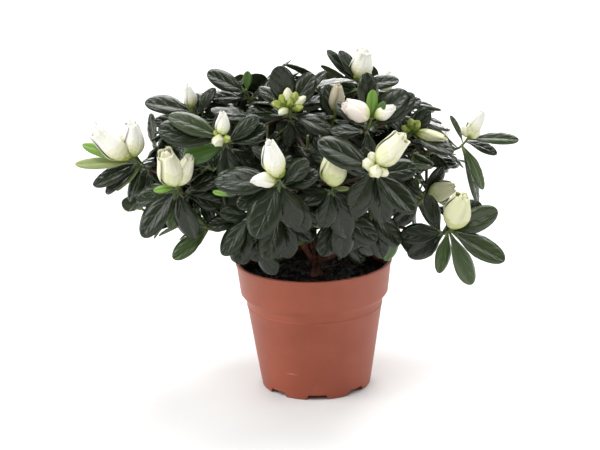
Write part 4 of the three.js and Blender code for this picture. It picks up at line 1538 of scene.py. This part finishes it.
# A few young leaves low on the second stem
sproutShoot = {
    "tip": curvePoint(limbs[sprout["on"]], sprout["at"]),
    "axis": (upward + viewerWay * sprout["facing"]).normalized(),
    "draw": seededNumbers(sprout["seed"]),
    "owner": sprout["on"],
    "tone": "leafYoung",
    "leaves": sprout["leaves"],
}
for plan in leafPlans(sproutShoot):
    growLeaf(sproutShoot, sproutShoot["tip"], plan, True)


# Finer twigs, carried on by the same rule inside the dome
sideForm = {
    "perShoot": 6,
    "from": (0.3, 0.5),
    "length": (18, 16),
    "spread": 62,
    "spreadVaries": (0.7, 0.5),
    "outward": 0.5,
    "arch": 2,
    "steps": 8,
    "radii": (0.95, 0.25),
    "footRings": 2,
    "apart": 13,
    "inside": 0.93,
    "lowest": 112,
    "leaves": 6,
    "leafStart": (1.5, 1.3),
    "size": 0.82,
}


def growSideShoots():
    form = sideForm
    steps, skip = form["steps"], form["footRings"] * tubeSides
    thick, thin = form["radii"]
    radii = [thick - thin * s / steps for s in range(steps + 1)]
    tips = [shoot["tip"] for shoot in shoots]
    made = []
    for shoot in shoots:
        draw = shoot["draw"]
        for k in range(form["perShoot"]):
            at = between(form["from"], (k + draw()) / form["perShoot"])
            start = curvePoint(shoot["route"], at)
            tangent = curveTangent(shoot["route"], at)
            turned = Quaternion(tangent, 2 * math.pi * draw()) @ tangent.orthogonal().normalized()
            spread = math.radians(form["spread"] * between(form["spreadVaries"], draw()))
            way = tangent * math.cos(spread) + turned * math.sin(spread)
            tip = start + way * between(form["length"], draw())
            away = tip - heart
            if away.length > domeReach(away.normalized()) * form["inside"] or tip.z < form["lowest"]:
                continue
            if any((tip - other).length < form["apart"] for other in tips):
                continue
            axis = (away.normalized() + upward * shootForm["lean"] + way * form["outward"]).normalized()
            side = {"tip": tip, "axis": axis, "leaves": None, "draw": draw, "owner": tip}
            side.update({"count": form["leaves"], "size": form["size"], "tone": shoot["tone"]})
            middle = start.lerp(tip, 0.5) + way * form["arch"]
            points = [curvePoint([start, middle, tip], s / steps) for s in range(steps + 1)]
            shell, faces = tubeShell(points, radii)
            if not isClear(shell[skip:], faces[:-skip], shoot["owner"]) or not isWelcome(shell):
                continue
            stand(shell, faces, tip)
            side["twig"] = (points, radii)
            tips.append(tip)
            made.append(side)
    for side in made:
        for k, plan in enumerate(leafPlans(side)):
            growLeaf(side, side["tip"] - side["axis"] * between(form["leafStart"], k), plan, False)
        if side.get("grown", 0) > 1:
            sticks.append((*side["twig"], "shootGreen"))
    return made


sideShoots = growSideShoots()
print("finer twigs done:", len(sideShoots), "side shoots,", len(leaves), "leaves")


# Joined meshes: leaves, twigs, big and small buds
leafTones = "leafDark leafDeep leafSage leafMid leafGreen leafYoung leafOlive leafStalk".split()
underTones = ["underDark"] * 4 + ["underYoung"] * 4
edgeTones = ["edgeHairs"] * 5 + ["edgeYoung"] * 3
leafGroups = {
    "leaves_front": ["front", "front_left", "front_right", "low_left", "low_right"],
    "leaves_top": ["top_front", "top", "upper_left", "upper_right"],
    "leaves_sides": ["left", "right"],
    "leaves_back": ["back_left", "back", "back_right", "low_back"],
}


def joinedMesh(name, sheets, faceLists, indices):
    points = np.concatenate(sheets) * mm
    faces, offset = [], 0
    for sheet, faceList in zip(sheets, faceLists):
        faces.extend([[i + offset for i in face] for face in faceList])
        offset += len(sheet)
    mesh = bpy.data.meshes.new(name)
    mesh.from_pydata(points.tolist(), [], faces)
    mesh.polygons.foreach_set("material_index", np.concatenate(indices).astype(np.int32))
    mesh.update()
    return mesh


def addThickness(piece, thickness, shell, rim):
    solid = piece.modifiers.new("thickness", "SOLIDIFY")
    solid.thickness = thickness * mm
    solid.offset = -1
    solid.material_offset, solid.material_offset_rim = shell, rim


# A map of its own on a mesh, from one spot for each of its points
def writeMap(mesh, name, spots):
    corners = np.empty(len(mesh.loops), dtype=np.int32)
    mesh.loops.foreach_get("vertex_index", corners)
    mesh.uv_layers.new(name=name).uv.foreach_set("vector", spots[corners].ravel())


def makeLeaves(name, places):
    own = [leaf for leaf in leaves if leaf["place"] in places]
    stalk = leafTones.index("leafStalk")
    indices = [np.where(grid["isStalk"], stalk, leafTones.index(leaf["tone"])) for leaf in own]
    mesh = joinedMesh(name, [leaf["points"] for leaf in own], [grid["faces"]] * len(own), indices)
    middle = np.array(leafForm["columns"])[grid["columns"]] / 2 + 0.5
    lean = leafForm["veinLean"] * np.abs(2 * middle - 1)
    spots = np.column_stack((middle, grid["rows"] / leafForm["rows"] - lean))
    writeMap(mesh, "blade", np.tile(spots, (len(own), 1)))
    nodes = [f"foliage_{place}" for place in places]
    finishes = [tissue[tone] for tone in leafTones + underTones + edgeTones]
    piece = finishPiece(mesh, name, finishes, nodes)
    addThickness(piece, leafForm["thickness"], len(leafTones), 2 * len(leafTones))
    print(name, len(own), "leaves")


for name, places in leafGroups.items():
    makeLeaves(name, places)

for tone, name in (("shootBrown", "twigs"), ("shootGreen", "green_shoots")):
    mesh = tubesMesh(name, [(points, radii) for points, radii, kind in sticks if kind == tone], 1)
    finishPiece(mesh, name, [tissue[tone]])

# Bands of colour from a bud's foot to its tip, one for each row of faces
budTones = "budGreen petalLime petalPale petalIvory petalCream petalWhite petalBlush petalBeige".split()
petalBands = {
    "white": "budGreen petalLime petalPale petalIvory petalCream petalWhite",
    "cream": "budGreen petalLime petalPale petalIvory petalIvory petalCream petalCream petalWhite",
    "ivory": "budGreen petalLime petalPale petalIvory petalIvory petalIvory petalCream",
    "pale": "budGreen petalLime petalPale petalPale petalIvory petalIvory",
    "shaded": "budGreen petalLime petalPale petalPale petalPale petalIvory",
    "blush": "petalLime petalPale petalIvory petalBlush petalBlush",
    "beige": "budGreen petalLime petalBeige petalBeige petalBeige",
    "green": "budGreen budGreen budGreen petalLime petalLime petalPale",
}


# The green of the foot runs up in streaks, highest along the middle of each petal
def bandIndices(tone, rows, across, petal, draw):
    words = petalBands[tone].split()
    streaks = [draw() * petal["streak"] for column in range(across)]
    indices = []
    for row in range(rows):
        for column in range(across):
            outward = abs(column - (across - 1) / 2) / (across / 2) * petal["rise"]
            at = (row / rows / petal["height"] + outward + streaks[column]) * len(words)
            indices.append(budTones.index(words[min(int(at), len(words) - 1)]))
    return np.array(indices)


bandForm = {
    "petal": {"height": 0.72, "rise": 0.15, "streak": 0.16},
    "egg": {"height": 1.2, "rise": 0, "streak": 0.12},
    "seed": 8123,
    "mapStep": 1.7,
}
bandDraw = seededNumbers(bandForm["seed"])


# Joins sheets of one size. The map goes round each sheet and up it, and stands apart from the next one's.
def makeBuds(name, sheets, tones, columns, rows, closed, bands):
    count = len(sheets)
    across = columns if closed else columns - 1
    indices = [bandIndices(tone, rows - 1, across, bands, bandDraw) for tone in tones]
    mesh = joinedMesh(name, sheets, [quadFaces(columns, rows, closed)] * count, indices)
    around = np.tile(np.arange(columns) / (columns - 1), rows * count)
    along = np.tile(np.repeat(np.arange(rows) / (rows - 1), columns), count)
    apart = np.repeat(np.arange(count), rows * columns) * bandForm["mapStep"]
    writeMap(mesh, "sheet", np.column_stack((around + apart, along)))
    return finishPiece(mesh, name, [tissue[tone] for tone in budTones])


sheets = [sheet for bud in bigBuds for sheet in bud["sheets"]]
tones = [bud["tone"] for bud in bigBuds for sheet in bud["sheets"]]
size = budForm["petalColumns"], budForm["petalRows"]
piece = makeBuds("flower_buds", sheets, tones, *size, False, bandForm["petal"])
addThickness(piece, budForm["thickness"], 0, 0)

sheets = [bud["points"] for bud in smallBuds]
tones = [bud["tone"] for bud in smallBuds]
makeBuds("small_buds", sheets, tones, budForm["eggSides"], budForm["eggRows"], True, bandForm["egg"])
print("joined:", len(bigBuds), "big buds,", len(smallBuds), "small buds")


# Studio: pale floor, white surroundings and six soft lamps, the strongest ones from above and behind
studio = {
    "floorColour": "#d2d2d1",
    "floorReach": 12,
    "card": {"roughness": 0.9, "ior": 1.45, "shine": 0.2},
    "surround": 0.2,
    "lamps": [
        {"name": "key", "from": (-0.5, -0.5, 1.2), "spread": 26, "strength": 2.0},
        {"name": "top", "from": (0.3, 0.5, 1.1), "spread": 46, "strength": 3.1},
        {"name": "left", "from": (-1.0, -0.1, 0.5), "spread": 34, "strength": 1.6},
        {"name": "right", "from": (1.0, 0.1, 0.6), "spread": 34, "strength": 1.1},
        {"name": "front", "from": (-0.2, -1.0, 0.8), "spread": 22, "strength": 0.5},
        {"name": "back", "from": (0.0, 1.0, 0.42), "spread": 50, "strength": 2.8},
    ],
}


def makeStudio():
    bm = bmesh.new()
    bmesh.ops.create_grid(bm, x_segments=1, y_segments=1, size=studio["floorReach"])
    card = studio["card"]
    material, shader, place = newFinish("paintedCard", card["roughness"], card["ior"])
    shader.inputs["Base Color"].default_value = linearColour(studio["floorColour"])
    shader.inputs["Specular IOR Level"].default_value = card["shine"]
    floor = bpy.data.objects.new("floor", meshOf(bm, "floor"))
    floor.data.materials.append(material)
    scene.collection.objects.link(floor)
    world = bpy.data.worlds.new("surround")
    world.use_nodes = True
    world.node_tree.nodes["Background"].inputs["Color"].default_value = (1, 1, 1, 1)
    world.node_tree.nodes["Background"].inputs["Strength"].default_value = studio["surround"]
    scene.world = world
    for lamp in studio["lamps"]:
        data = bpy.data.lights.new(lamp["name"], "SUN")
        data.energy, data.angle = lamp["strength"], math.radians(lamp["spread"])
        holder = bpy.data.objects.new(lamp["name"], data)
        holder.rotation_euler = (-Vector(lamp["from"])).to_track_quat("-Z", "Y").to_euler()
        scene.collection.objects.link(holder)
    scene.view_settings.view_transform = "Standard"


makeStudio()
